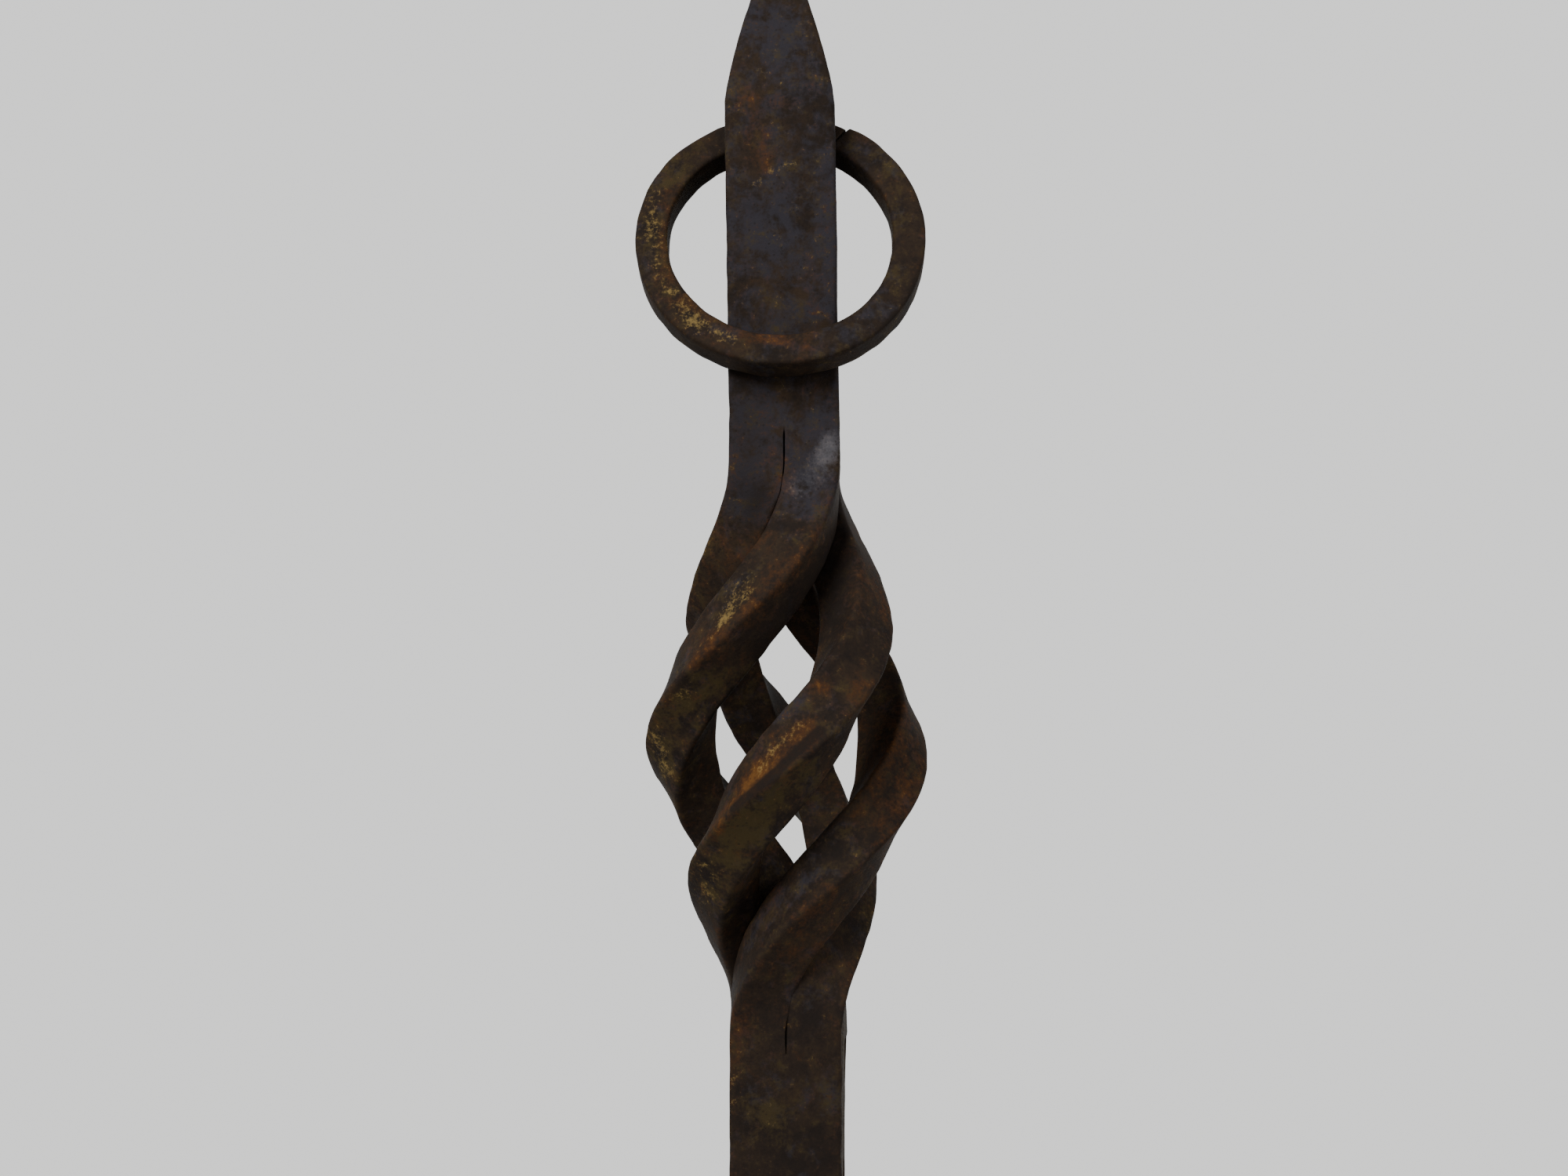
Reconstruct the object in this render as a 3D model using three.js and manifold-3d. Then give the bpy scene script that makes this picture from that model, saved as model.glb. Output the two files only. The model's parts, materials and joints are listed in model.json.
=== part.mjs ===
// A hand-forged andiron: a square standard with a four-sided spear point, a drop ring through
// a cross hole, and a twisted basket of four rods. The standard stands on an arched front leg,
// and a billet bar runs back from it and is bent down at its far end into the rear leg.
// Millimetres, +Z up. The front faces -Y, the floor is z = 0 and the origin is the middle of
// the whole object on the floor.

import * as THREE from 'three';
import { mergeVertices } from 'three/addons/utils/BufferGeometryUtils.js';
import Module from 'manifold-3d';

const wasm = await Module();
wasm.setup();

// ---- Driving dimensions ----

const gap = 0.3; // between neighbouring pieces

const barWidth = 25.4; // one inch square stock, for the standard and the billet bar
const barCorner = 1.2; // worn corner of that stock
const cornerShare = 0.25; // where a bar gets thin, its corners take at most this share of it

const billetClearance = 108; // floor to the underside of the billet bar
const billetReach = 380; // back face of the standard to the front face of the rear leg
const footSpread = 2.2; // the rear leg's foot is upset by this much on each side
const footHeight = 22;
const bendInside = 2.5; // radius inside the rear bend
const bendHump = 3; // extra metal on top where the bend starts
const bendBulge = 1.6; // sideways bulge of each side inside the rear bend
const bendOutside = 0.3; // share of that bulge left at the outside of the bend
const bendSteps = 8;

const neckBelowBasket = 79; // top of the billet bar to the lower end of the slits
const slitBelow = 10.2; // straight part of the rods below the basket
const slitAbove = 13.2; // straight part of the rods above the basket
const basketLength = 120.6;
const holeAboveBasket = 70.8; // upper end of the slits to the centre of the cross hole
const pointHeight = 44.5; // the spear point, from its shoulder to its tip
const shoulderAboveHole = 3.7;
const pointTip = 3.2; // width of the blunt tip
const pointPower = 1.28; // above 1 the faces of the point are rounded outwards
const pointSteps = 9;

const rodWidth = 11.6; // drawn down a little from a quarter of the bar
const drawnOver = 0.045; // share of the basket's length over which the rods are drawn down
const rodCorner = 1.3;
const basketRadius = 25.5; // from the axis to the middle of a rod, at the widest place
const basketWidestShare = 0.48; // share of the basket's length, from its top
const basketPower = 1.95; // a higher power gives a shorter, rounder belly
const basketTurnDegrees = 270; // each rod goes three quarters of the way round
const runInShare = 0.06; // share of the length over which the turn starts and stops
const waveShare = 0.18; // the turn is quicker near both ends than at the belly
const skewShare = -0.09; // and quicker in the upper half than in the lower
const rodSteps = 46;
const headTurnDegrees = 1; // the head stands this much out of line with the foot
const neckTurnDegrees = 2.9; // and so does the neck under the basket
const neckTurnFade = 32; // length over which the neck comes back into line
const neckSteps = 14;

const ringRadius = 30; // to the middle of its section
const ringStock = 7.4; // square section of the ring
const ringCorner = 1.2;
const ringSeam = 0.8; // between the two butted ends
const ringSeamDegrees = 30; // from the top, beside the bar
const ringShift = -1; // the ring hangs this far to one side in its hole
const ringPlay = 0.6; // between the ring and the wall of its hole
const ringSteps = 60;

const legStock = 22; // front leg: width of the bar, front to back
const legThickness = 19; // at the crown
const ankleThickness = 13; // where the leg turns out into its toe
const legCorner = 1.5;
const crownHeight = 86; // floor to the top of the arch
const crownFlat = 34; // flat seat on top of the arch, for the standard
const legSpan = 92; // from the middle of the arch to the middle of each upright end
const legPower = 2.3; // power of the arch: 2 is an ellipse, more is squarer
const legSteps = 14;
const toeBend = 16; // radius of the bend where the leg turns out into its toe
const toeLength = 24;
const toeThickness = 8;
const toeWidth = 34;
const toeSteps = 5;

const tenonDiameter = 12;
const tenonClearance = 0.6; // on the diameter of its hole
const headDiameter = 20; // peened head on the end of each tenon
const headHeight = 4.5;
const headRim = 1.1; // upright edge under its dome
const headSteps = 4;
const roundSides = 32;

// ---- Places that follow from the dimensions ----

const barHalf = barWidth / 2;
const billetMiddle = billetClearance + barHalf;
const billetTop = billetClearance + barWidth;
const slitBottom = billetTop + neckBelowBasket;
const basketBottom = slitBottom + slitBelow;
const basketTop = basketBottom + basketLength;
const slitTop = basketTop + slitAbove;
const holeHeight = slitTop + holeAboveBasket;
const shoulder = holeHeight + shoulderAboveHole;

// The ring turns about the middle of what its curve fills inside the bar, and that sets the hole.
const ringInside = ringRadius - ringStock / 2;
const ringDip = ringRadius - Math.sqrt(ringInside ** 2 - (barHalf + Math.abs(ringShift)) ** 2);
const ringFill = (ringDip + ringStock / 2) / 2;
const holeRadius = Math.hypot(ringFill, ringStock / 2 - ringCorner) + ringPlay;
const pivotToCentre = ringRadius + ringStock / 2 - ringFill;
const ringRest = restTilt();

// The tilt at which the ring lies against the front corners of the bar.
function restTilt() {
  const flatHalf = barHalf - barCorner + Math.abs(ringShift);
  const touch = pivotToCentre + Math.sqrt(ringInside ** 2 - flatHalf ** 2) + ringCorner;
  const back = ringStock / 2;
  return Math.asin((barHalf + gap) / Math.hypot(touch, back)) + Math.atan2(back, touch);
}

// ---- Building blocks ----

const mergeWithin = 1e-4;
const radians = THREE.MathUtils.degToRad;
const lerp = THREE.MathUtils.lerp;
const smooth = THREE.MathUtils.smoothstep;

// A closed solid through rings of points. Every ring has the same number of points, and they
// run anticlockwise as seen from the end of the path.
function loft(rings) {
  const count = rings[0].length;
  const last = (rings.length - 1) * count;
  const positions = rings.flat().flatMap((point) => point.toArray());
  const indices = [];
  for (let start = 0; start < last; start += count) {
    for (let i = 0; i < count; i += 1) {
      const a = start + i;
      const b = start + ((i + 1) % count);
      indices.push(a, b, b + count, a, b + count, a + count);
    }
  }
  for (let i = 1; i + 1 < count; i += 1) {
    indices.push(0, i + 1, i, last, last + i, last + i + 1);
  }
  const geometry = new THREE.BufferGeometry();
  geometry.setAttribute('position', new THREE.Float32BufferAttribute(positions, 3));
  geometry.setIndex(indices);
  return geometry;
}

// A rectangle with cut corners, drawn anticlockwise around its centre.
function section(width, depth, corner) {
  const x = width / 2;
  const y = depth / 2;
  return [
    [x, corner - y],
    [x, y - corner],
    [x - corner, y],
    [corner - x, y],
    [-x, y - corner],
    [-x, corner - y],
    [corner - x, -y],
    [x - corner, -y],
  ];
}

// Lays a section in space: its first axis runs along `across`, its second along `over`.
function place(outline, centre, across, over) {
  return outline.map(([a, b]) => centre.clone().addScaledVector(across, a).addScaledVector(over, b));
}

// A level square section of the upright bar, turned about the axis by some degrees.
function levelSection(width, corner, height, turn) {
  const across = new THREE.Vector3(Math.cos(radians(turn)), Math.sin(radians(turn)), 0);
  const over = new THREE.Vector3(-across.y, across.x, 0);
  return place(section(width, width, corner), new THREE.Vector3(0, 0, height), across, over);
}

function toSolid(geometry) {
  const bare = geometry.clone();
  bare.deleteAttribute('normal');
  bare.deleteAttribute('uv');
  const merged = mergeVertices(bare, mergeWithin);
  return new wasm.Manifold(
    new wasm.Mesh({
      numProp: 3,
      vertProperties: Float32Array.from(merged.attributes.position.array),
      triVerts: Uint32Array.from(merged.index.array),
    }),
  );
}

function toGeometry(solid) {
  const mesh = solid.getMesh();
  const geometry = new THREE.BufferGeometry();
  geometry.setAttribute('position', new THREE.BufferAttribute(mesh.vertProperties, 3));
  geometry.setIndex(new THREE.BufferAttribute(mesh.triVerts, 1));
  return geometry;
}

// A round bar along Z from one height to another.
function roundBar(diameter, from, to) {
  const bar = new THREE.CylinderGeometry(diameter / 2, diameter / 2, to - from, roundSides);
  return bar.rotateX(Math.PI / 2).translate(0, 0, (from + to) / 2);
}

// The hammered-over end of a tenon: a low dome that stands up from z = 0.
function peenedHead() {
  const profile = [new THREE.Vector2(0, 0), new THREE.Vector2(headDiameter / 2, 0)];
  for (let i = 0; i < headSteps; i += 1) {
    const angle = (i / headSteps) * (Math.PI / 2);
    const radius = (headDiameter / 2) * Math.cos(angle);
    profile.push(new THREE.Vector2(radius, lerp(headRim, headHeight, Math.sin(angle))));
  }
  profile.push(new THREE.Vector2(0, headHeight));
  return new THREE.LatheGeometry(profile, roundSides).rotateX(Math.PI / 2);
}

// ---- The standard ----

function pointWidth(share) {
  return lerp(barWidth, pointTip, share ** pointPower);
}

// The upper bar with the spear point, and the hole that the ring goes through.
function standardHead() {
  const rings = [levelSection(barWidth, barCorner, slitTop + gap, headTurnDegrees)];
  for (let i = 0; i <= pointSteps; i += 1) {
    const share = i / pointSteps;
    const width = pointWidth(share);
    const corner = Math.min(barCorner, width * cornerShare);
    rings.push(levelSection(width, corner, shoulder + share * pointHeight, headTurnDegrees));
  }
  const hole = roundBar(2 * holeRadius, -barWidth, barWidth);
  hole.rotateY(Math.PI / 2).rotateZ(radians(headTurnDegrees)).translate(0, 0, holeHeight);
  return toGeometry(toSolid(loft(rings)).subtract(toSolid(hole)));
}

// How far the neck under the basket is still turned at some height.
function neckTurnAt(height) {
  const end = slitBottom - neckTurnFade;
  return neckTurnDegrees * smooth(height, end - neckTurnFade, end);
}

// The lower bar, with the hole for the billet bar's tenon and its own tenon through the leg.
function standardFoot() {
  const bottom = crownHeight + gap;
  const rings = [];
  for (let i = 0; i <= neckSteps; i += 1) {
    const height = lerp(bottom, slitBottom - gap, i / neckSteps);
    rings.push(levelSection(barWidth, barCorner, height, neckTurnAt(height)));
  }
  const headTop = crownHeight - legThickness - gap;
  const tenon = roundBar(tenonDiameter, headTop - headHeight / 2, bottom + barHalf);
  const head = peenedHead().rotateX(Math.PI).translate(0, 0, headTop);
  const hole = roundBar(tenonDiameter + tenonClearance, -barWidth, barWidth);
  hole.rotateX(Math.PI / 2).translate(0, 0, billetMiddle);
  const bar = toSolid(loft(rings)).subtract(toSolid(hole));
  return toGeometry(bar.add(toSolid(tenon)).add(toSolid(head)));
}

// ---- The basket ----

// Share of the whole turn that a rod has made at some share of the basket's length.
function turnShare(share) {
  let run = share - runInShare / 2;
  if (share < runInShare) {
    run = share ** 2 / (2 * runInShare);
  }
  if (share > 1 - runInShare) {
    run = 1 - runInShare - (1 - share) ** 2 / (2 * runInShare);
  }
  const even = run / (1 - runInShare);
  const wave = (waveShare * Math.sin(2 * Math.PI * even)) / (2 * Math.PI);
  const skew = (skewShare * (1 - Math.cos(2 * Math.PI * even))) / (2 * Math.PI);
  return even + wave + skew;
}

// Where the middle of a rod is, and how wide it is there. The share runs from 0 at the top of
// the basket to 1 at its bottom, and past both ends the rod stands straight.
function rodPlace(share, start) {
  const inside = THREE.MathUtils.clamp(share, 0, 1);
  const power = Math.log(0.5) / Math.log(basketWidestShare);
  const belly = Math.sin(Math.PI * inside ** power) ** basketPower;
  const quarter = (barWidth - gap) / 2;
  const bundle = (quarter + gap) / Math.SQRT2;
  const radius = lerp(bundle, basketRadius, belly);
  const swing = basketTurnDegrees + headTurnDegrees - neckTurnDegrees;
  const angle = radians(start + headTurnDegrees - swing * turnShare(inside));
  const drawn = smooth(Math.min(inside, 1 - inside), 0, drawnOver);
  const outward = new THREE.Vector3(Math.sin(angle), -Math.cos(angle), 0);
  const centre = outward.clone().multiplyScalar(radius);
  centre.z = lerp(basketTop, basketBottom, share);
  return { centre, outward, width: lerp(quarter, rodWidth, drawn) };
}

// One rod, a quarter of the split bar, with one corner always pointing outwards.
function basketRod(start) {
  const above = -slitAbove / basketLength;
  const below = 1 + slitBelow / basketLength;
  const nearby = 0.001;
  const shares = [above];
  for (let i = 0; i <= rodSteps; i += 1) {
    shares.push(i / rodSteps);
  }
  shares.push(below);
  const rings = shares.map((share) => {
    const here = rodPlace(share, start);
    const ahead = rodPlace(share + nearby, start).centre;
    const behind = rodPlace(share - nearby, start).centre;
    const along = ahead.sub(behind).normalize();
    const out = here.outward.addScaledVector(along, -here.outward.dot(along)).normalize();
    const side = new THREE.Vector3().crossVectors(along, out);
    const across = out.clone().add(side).multiplyScalar(Math.SQRT1_2);
    const over = side.clone().sub(out).multiplyScalar(Math.SQRT1_2);
    return place(section(here.width, here.width, rodCorner), here.centre, across, over);
  });
  return loft(rings);
}

// ---- The ring ----

// A bent square bar whose ends meet beside the upright. It is built about its own pivot.
function dropRing() {
  const half = ringSeam / 2 / ringRadius;
  const from = radians(ringSeamDegrees) + half;
  const to = radians(ringSeamDegrees) + 2 * Math.PI - half;
  const outline = section(ringStock, ringStock, ringCorner);
  const rings = [];
  for (let i = 0; i <= ringSteps; i += 1) {
    const angle = lerp(from, to, i / ringSteps);
    const out = new THREE.Vector3(Math.sin(angle), 0, Math.cos(angle));
    const centre = out.clone().multiplyScalar(ringRadius);
    centre.x += ringShift;
    centre.z -= pivotToCentre;
    rings.push(place(outline, centre, new THREE.Vector3(0, 1, 0), out));
  }
  return loft(rings);
}

// ---- The billet bar ----

// One section of the billet bar, `thick` measured away from the inside of the bend. The bulge
// widens each side: all of it at the inside of the bend, and as much as `share` at the outside.
function billetSection(inner, outward, thick, bulge, share) {
  const side = new THREE.Vector3(-1, 0, 0);
  const centre = inner.clone().addScaledVector(outward, thick / 2);
  const outline = section(barWidth, thick, barCorner).map(([a, b]) => {
    const widen = b < 0 ? bulge : bulge * share;
    return [a + Math.sign(a) * widen, b];
  });
  return place(outline, centre, side, outward);
}

// The bar from the standard to the rear bend and down to the floor, with the tenon in front.
function billetBar() {
  const start = barHalf + gap;
  const legFront = start + billetReach;
  const bendY = legFront - bendInside;
  const bendZ = billetClearance - bendInside;
  const up = new THREE.Vector3(0, 0, 1);
  const back = new THREE.Vector3(0, 1, 0);
  const level = (y) => billetSection(new THREE.Vector3(0, y, billetClearance), up, barWidth, 0, 0);
  const upright = (z) => billetSection(new THREE.Vector3(0, legFront, z), back, barWidth, 0, 0);
  const rings = [level(start), level(bendY - barWidth)];
  for (let i = 0; i <= bendSteps; i += 1) {
    const angle = (i / bendSteps) * (Math.PI / 2);
    const outward = new THREE.Vector3(0, Math.sin(angle), Math.cos(angle));
    const inner = new THREE.Vector3(0, bendY, bendZ).addScaledVector(outward, bendInside);
    const thick = barWidth + bendHump * Math.cos(angle);
    const bulge = bendBulge * Math.cos(angle - Math.PI / 4);
    rings.push(billetSection(inner, outward, thick, bulge, bendOutside));
  }
  rings.push(upright(bendZ - barWidth), upright(footHeight));
  const foot = new THREE.Vector3(0, legFront - footSpread, 0);
  rings.push(billetSection(foot, back, barWidth + 2 * footSpread, footSpread, 1));
  const headFace = -barHalf - gap;
  const tenon = roundBar(tenonDiameter, headFace - headHeight / 2, start + barHalf);
  tenon.rotateX(-Math.PI / 2).translate(0, 0, billetMiddle);
  const head = peenedHead().rotateX(Math.PI / 2).translate(0, headFace, billetMiddle);
  return toGeometry(toSolid(loft(rings)).add(toSolid(tenon)).add(toSolid(head)));
}

// ---- The front leg ----

// Half of the arch, from its middle to one toe, as places with their direction and section.
function legStations() {
  const middle = crownHeight - legThickness / 2;
  const toeMiddle = toeThickness / 2;
  const springing = toeMiddle + toeBend;
  const stations = [];
  const add = (x, z, angle, thick, wide) => stations.push({ x, z, angle, thick, wide });
  add(0, middle, 0, legThickness, legStock);
  const reach = legSpan - crownFlat / 2;
  const rise = middle - springing;
  const power = 2 / legPower;
  for (let i = 0; i <= legSteps; i += 1) {
    const angle = (i / legSteps) * (Math.PI / 2);
    const x = Math.sin(angle) ** power;
    const z = Math.cos(angle) ** power;
    const slope = Math.atan2(x ** (legPower - 1) / reach, z ** (legPower - 1) / rise);
    const thick = lerp(legThickness, ankleThickness, (i / legSteps) ** 2);
    add(crownFlat / 2 + reach * x, springing + rise * z, slope, thick, legStock);
  }
  for (let i = 1; i <= toeSteps; i += 1) {
    const share = i / toeSteps;
    const angle = (1 - share) * (Math.PI / 2);
    const x = legSpan + toeBend * (1 - Math.sin(angle));
    const z = springing - toeBend * Math.cos(angle);
    const thick = lerp(ankleThickness, toeThickness, share);
    add(x, z, angle, thick, lerp(legStock, toeWidth, share));
  }
  add(legSpan + toeBend + toeLength, toeMiddle, 0, toeThickness, toeWidth);
  return stations;
}

// The whole arched bar, bored for the standard's tenon.
function frontLeg() {
  const half = legStations();
  const mirrored = half.slice(1).reverse();
  const side = new THREE.Vector3(0, 1, 0);
  const ringAt = (station, sign) => {
    const up = new THREE.Vector3(sign * Math.sin(station.angle), 0, Math.cos(station.angle));
    const centre = new THREE.Vector3(sign * station.x, 0, station.z);
    const corner = Math.min(legCorner, station.thick * cornerShare);
    return place(section(station.wide, station.thick, corner), centre, side, up);
  };
  const rings = mirrored.map((station) => ringAt(station, -1));
  rings.push(...half.map((station) => ringAt(station, 1)));
  const under = crownHeight - legThickness - gap;
  const hole = roundBar(tenonDiameter + tenonClearance, under, crownHeight + gap);
  return toGeometry(toSolid(loft(rings)).subtract(toSolid(hole)));
}

// ---- Assembly ----

const metalness = 0.75;

function iron(color, roughness) {
  return new THREE.MeshStandardMaterial({ color, roughness, metalness });
}

function piece(name, geometry, material) {
  const mesh = new THREE.Mesh(geometry, material);
  mesh.name = name;
  return mesh;
}

const andiron = new THREE.Group();
const rodStarts = {
  front_left: -45,
  front_right: 45,
  back_right: 135,
  back_left: 225,
};

andiron.add(piece('standard_head', standardHead(), iron(0x2f2a29, 0.55)));
for (const [where, start] of Object.entries(rodStarts)) {
  andiron.add(piece(`basket_rod_${where}`, basketRod(start), iron(0x33291f, 0.6)));
}
andiron.add(piece('standard_foot', standardFoot(), iron(0x2f2826, 0.55)));
andiron.add(piece('billet_bar', billetBar(), iron(0x37302b, 0.6)));
andiron.add(piece('front_leg', frontLeg(), iron(0x2d2927, 0.6)));

const ring = piece('drop_ring', dropRing(), iron(0x3a2c1c, 0.6));
ring.position.z = holeHeight;
ring.rotation.set(-ringRest, 0, radians(headTurnDegrees), 'ZYX');
andiron.add(ring);

// The origin is half way between the front of the basket and the back of the rear foot.
const whole = new THREE.Box3().setFromObject(andiron);
andiron.position.y = -(whole.min.y + whole.max.y) / 2;

export default andiron;
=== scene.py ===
"""The visible surfaces of a hand-forged andiron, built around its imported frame.

Every bar is a skin swept along its path, worked over with hammer marks, scale and worn edges,
and finished in old dark iron with rust. Metres, +Z up, the front faces -Y.
"""

import json
import math
from collections import namedtuple

import bpy
import numpy as np
from bpy.props import FloatProperty, FloatVectorProperty, PointerProperty
from mathutils import Euler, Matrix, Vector, noise


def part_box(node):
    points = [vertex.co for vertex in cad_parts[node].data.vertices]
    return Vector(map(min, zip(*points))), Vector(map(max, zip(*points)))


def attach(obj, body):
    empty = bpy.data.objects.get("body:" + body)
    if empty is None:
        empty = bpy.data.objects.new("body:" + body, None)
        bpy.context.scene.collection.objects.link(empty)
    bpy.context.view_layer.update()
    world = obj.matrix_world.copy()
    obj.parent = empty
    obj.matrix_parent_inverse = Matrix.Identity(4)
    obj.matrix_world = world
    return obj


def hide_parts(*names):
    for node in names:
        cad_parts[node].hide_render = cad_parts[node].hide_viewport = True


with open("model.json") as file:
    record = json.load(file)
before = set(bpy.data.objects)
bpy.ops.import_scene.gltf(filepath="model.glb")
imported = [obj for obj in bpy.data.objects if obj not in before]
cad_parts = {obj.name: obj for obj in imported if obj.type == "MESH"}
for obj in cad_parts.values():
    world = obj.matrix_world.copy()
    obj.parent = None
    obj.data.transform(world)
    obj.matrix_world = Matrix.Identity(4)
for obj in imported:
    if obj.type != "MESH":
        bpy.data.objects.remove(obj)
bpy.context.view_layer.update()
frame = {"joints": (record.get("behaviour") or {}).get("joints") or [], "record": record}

bl_info = {
    "name": "Forged Andiron",
    "version": (1, 0, 0),
    "blender": (4, 5, 0),
    "location": "View3D > Sidebar > Andiron",
    "description": "Forges the visible surfaces of an andiron around its packed frame",
    "category": "Add Mesh",
}

MM = 0.001
UP = np.array([0.0, 0.0, 1.0])
BACK = np.array([0.0, 1.0, 0.0])
RIGHT = np.array([1.0, 0.0, 0.0])

# ---- Places that come from the frame ----

HEAD_LOW, HEAD_HIGH = (np.array(corner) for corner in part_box("standard_head"))
ROD_LOW, ROD_HIGH = (np.array(corner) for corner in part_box("basket_rod_front_left"))
BILLET_HIGH = np.array(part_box("billet_bar")[1])
LEG_HIGH = np.array(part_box("front_leg")[1])
RING_LOW, RING_HIGH = (np.array(corner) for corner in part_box("drop_ring"))

AXIS = (HEAD_LOW + HEAD_HIGH) / 2 * (RIGHT + BACK)
SLIT_TOP = ROD_HIGH[2]
SLIT_BOTTOM = ROD_LOW[2]
PIVOT = np.array(frame["joints"][0]["pos_m"])
RING_ACROSS = -np.array(frame["joints"][0]["axis"])

# Where each rod starts at the top, in degrees, and what the hand work has left uneven: how many
# degrees it lags behind the turn and how many millimetres it stands out at the belly.
Rod = namedtuple("Rod", "start behind out")
RODS = {
    "front_left": Rod(-45, 4, 1.0),
    "front_right": Rod(45, -3, -0.4),
    "back_right": Rod(135, 1.5, 0.3),
    "back_left": Rod(225, 3, 0.0),
}


# ---- Settings ----


def length(name, description, default):
    """A length that a user may change."""
    return FloatProperty(name=name, description=description, default=default, unit="LENGTH", precision=4)


def degrees(name, description, default):
    """An angle that a user may change, given here in degrees."""
    return FloatProperty(
        name=name, description=description, default=math.radians(default), unit="ROTATION"
    )


def share(name, description, default):
    """A plain number that a user may change."""
    return FloatProperty(name=name, description=description, default=default)


def colour(name, description, default):
    """A colour that a user may change, as linear red, green and blue."""
    return FloatVectorProperty(
        name=name, description=description, default=default, subtype="COLOR", min=0.0, max=2.0
    )


class StandardSettings(bpy.types.PropertyGroup):
    """The upright bar: its stock, its spear point and its two ends."""

    bar: length("Bar", "Width of the square bar", 25.8 * MM)
    corner: length("Corner", "Radius of the bar's worn corners", 1.2 * MM)
    shoulder: length("Shoulder", "How far the point starts above the middle of the hole", 5.3 * MM)
    tip: length("Tip", "Width of the blunt tip", 3.2 * MM)
    roundness: share("Roundness", "Above 1 the faces of the point are rounded outwards", 1.28)
    lean: length("Lean", "How far the tip stands to the left of the slits", 1.6 * MM)
    head_turn: degrees("Head turn", "How far the head stands out of line with the foot", 1.0)
    neck_turn: degrees("Neck turn", "How far the neck under the basket is turned", 2.9)
    neck_fade: length("Neck fade", "Length of the turned neck, and of its way back into line", 32 * MM)
    hole: length("Hole", "Diameter of the hole for the ring", 13.5 * MM)
    core: length("Core", "Width of the unsplit middle of the bar at the ends of the slits", 7 * MM)
    peen: length("Peened head", "Diameter of the hammered end of a tenon", 20 * MM)
    peen_height: length("Peened height", "How far it stands out", 4.5 * MM)
    peen_rim: length("Peened rim", "Height of its upright edge", 1.1 * MM)


class BasketSettings(bpy.types.PropertyGroup):
    """The four twisted rods."""

    rod: length("Rod", "Width of a rod", 12.75 * MM)
    ridge: length("Ridge", "Radius of a rod's corners", 1.3 * MM)
    roll: degrees("Roll", "How far a rod is rolled about its own line", -2)
    lag: degrees("Lag", "How far that roll lags in the upper half and leads in the lower", 25)
    radius: length("Radius", "From the axis to the middle of a rod at the widest place", 25.5 * MM)
    turn: degrees("Turn", "How far each rod goes round", 270.0)
    widest: share("Widest", "Where the basket is widest, from its top", 0.50)
    belly: share("Belly", "A higher power gives a shorter, rounder belly", 1.95)
    run_in: share("Run in", "Share of the twist over which the turn starts and stops", 0.117)
    wave: share("Wave", "How much quicker the turn is near both ends", 0.26)
    skew: share("Skew", "How much quicker the turn is in the upper half", -0.05)
    sway: length("Sway", "How far the belly stands to the right", 0.3 * MM)
    snake: length("Snake", "How far the basket leans right above its belly and left below", 0.4 * MM)
    straight_top: length("Straight top", "Part of the slits above the basket", 13.2 * MM)
    straight_bottom: length("Straight bottom", "Part of the slits below it", 11.3 * MM)
    twist_top: length("Twist above", "How far the twist runs on above the basket", 5.3 * MM)
    twist_bottom: length("Twist below", "How far it runs on below the basket", 7.4 * MM)
    slit: length("Slit", "Width of the slits above the basket", 0.36 * MM)
    slit_low: length("Lower slit", "Width of the slits below it", 0.12 * MM)


class RingSettings(bpy.types.PropertyGroup):
    """The drop ring."""

    radius: length("Radius", "To the middle of the ring's bar", 30.0 * MM)
    stock: length("Stock", "Width of the ring's square bar", 7.6 * MM)
    corner: length("Corner", "Radius of its corners", 1.0 * MM)
    seam: length("Seam", "Gap between the two butted ends", 1.1 * MM)
    seam_at: degrees("Seam at", "Where the ends meet, from the top", 27.5)
    seam_slant: length("Seam slant", "How far the seam leans over the width of the bar", 1.6 * MM)
    sag: length("Sag", "How much lower the left end lies at the seam", 0.8 * MM)
    drop: length("Drop", "How far the ring hangs below its fitted place", 0.4 * MM)
    swell: length("Swell", "How far it is out of round at the lower right", 0.6 * MM)
    swell_at: degrees("Swell at", "Where it is out of round, from the top", 137.0)


class BilletSettings(bpy.types.PropertyGroup):
    """The bar that carries the logs, and its rear leg."""

    bar: length("Bar", "Width of the square bar", 25.4 * MM)
    corner: length("Corner", "Radius of the bar's worn corners", 1.6 * MM)
    middle: length("Middle", "Height of the middle of the bar", 120.7 * MM)
    bend: length("Bend", "Radius inside the rear bend", 2.5 * MM)
    hump: length("Hump", "Extra metal on top where the bend starts", 3.0 * MM)
    bulge: length("Bulge", "Sideways bulge of each side inside the bend", 1.6 * MM)
    foot_spread: length("Foot spread", "How far the foot is upset on each side", 2.2 * MM)
    foot_height: length("Foot height", "Height over which it spreads", 22.0 * MM)


class LegSettings(bpy.types.PropertyGroup):
    """The arched front leg and its two toes."""

    stock: length("Stock", "Width of the bar, front to back", 22.0 * MM)
    crown: length("Crown", "Thickness at the top of the arch", 19.0 * MM)
    ankle: length("Ankle", "Thickness where the leg turns out into its toe", 13.0 * MM)
    corner: length("Corner", "Radius of the bar's corners", 1.7 * MM)
    flat: length("Flat", "Length of the level seat for the standard", 34.0 * MM)
    span: length("Span", "From the middle of the arch to the middle of an upright end", 92.0 * MM)
    fullness: share("Fullness", "2 is an ellipse, more is squarer", 2.3)
    toe_bend: length("Toe bend", "Radius of the bend into the toe", 16.0 * MM)
    toe_length: length("Toe length", "Length of the flat toe", 24.0 * MM)
    toe_thickness: length("Toe thickness", "Thickness of the toe", 8.0 * MM)
    toe_width: length("Toe width", "Width of the toe", 34.0 * MM)


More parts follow.
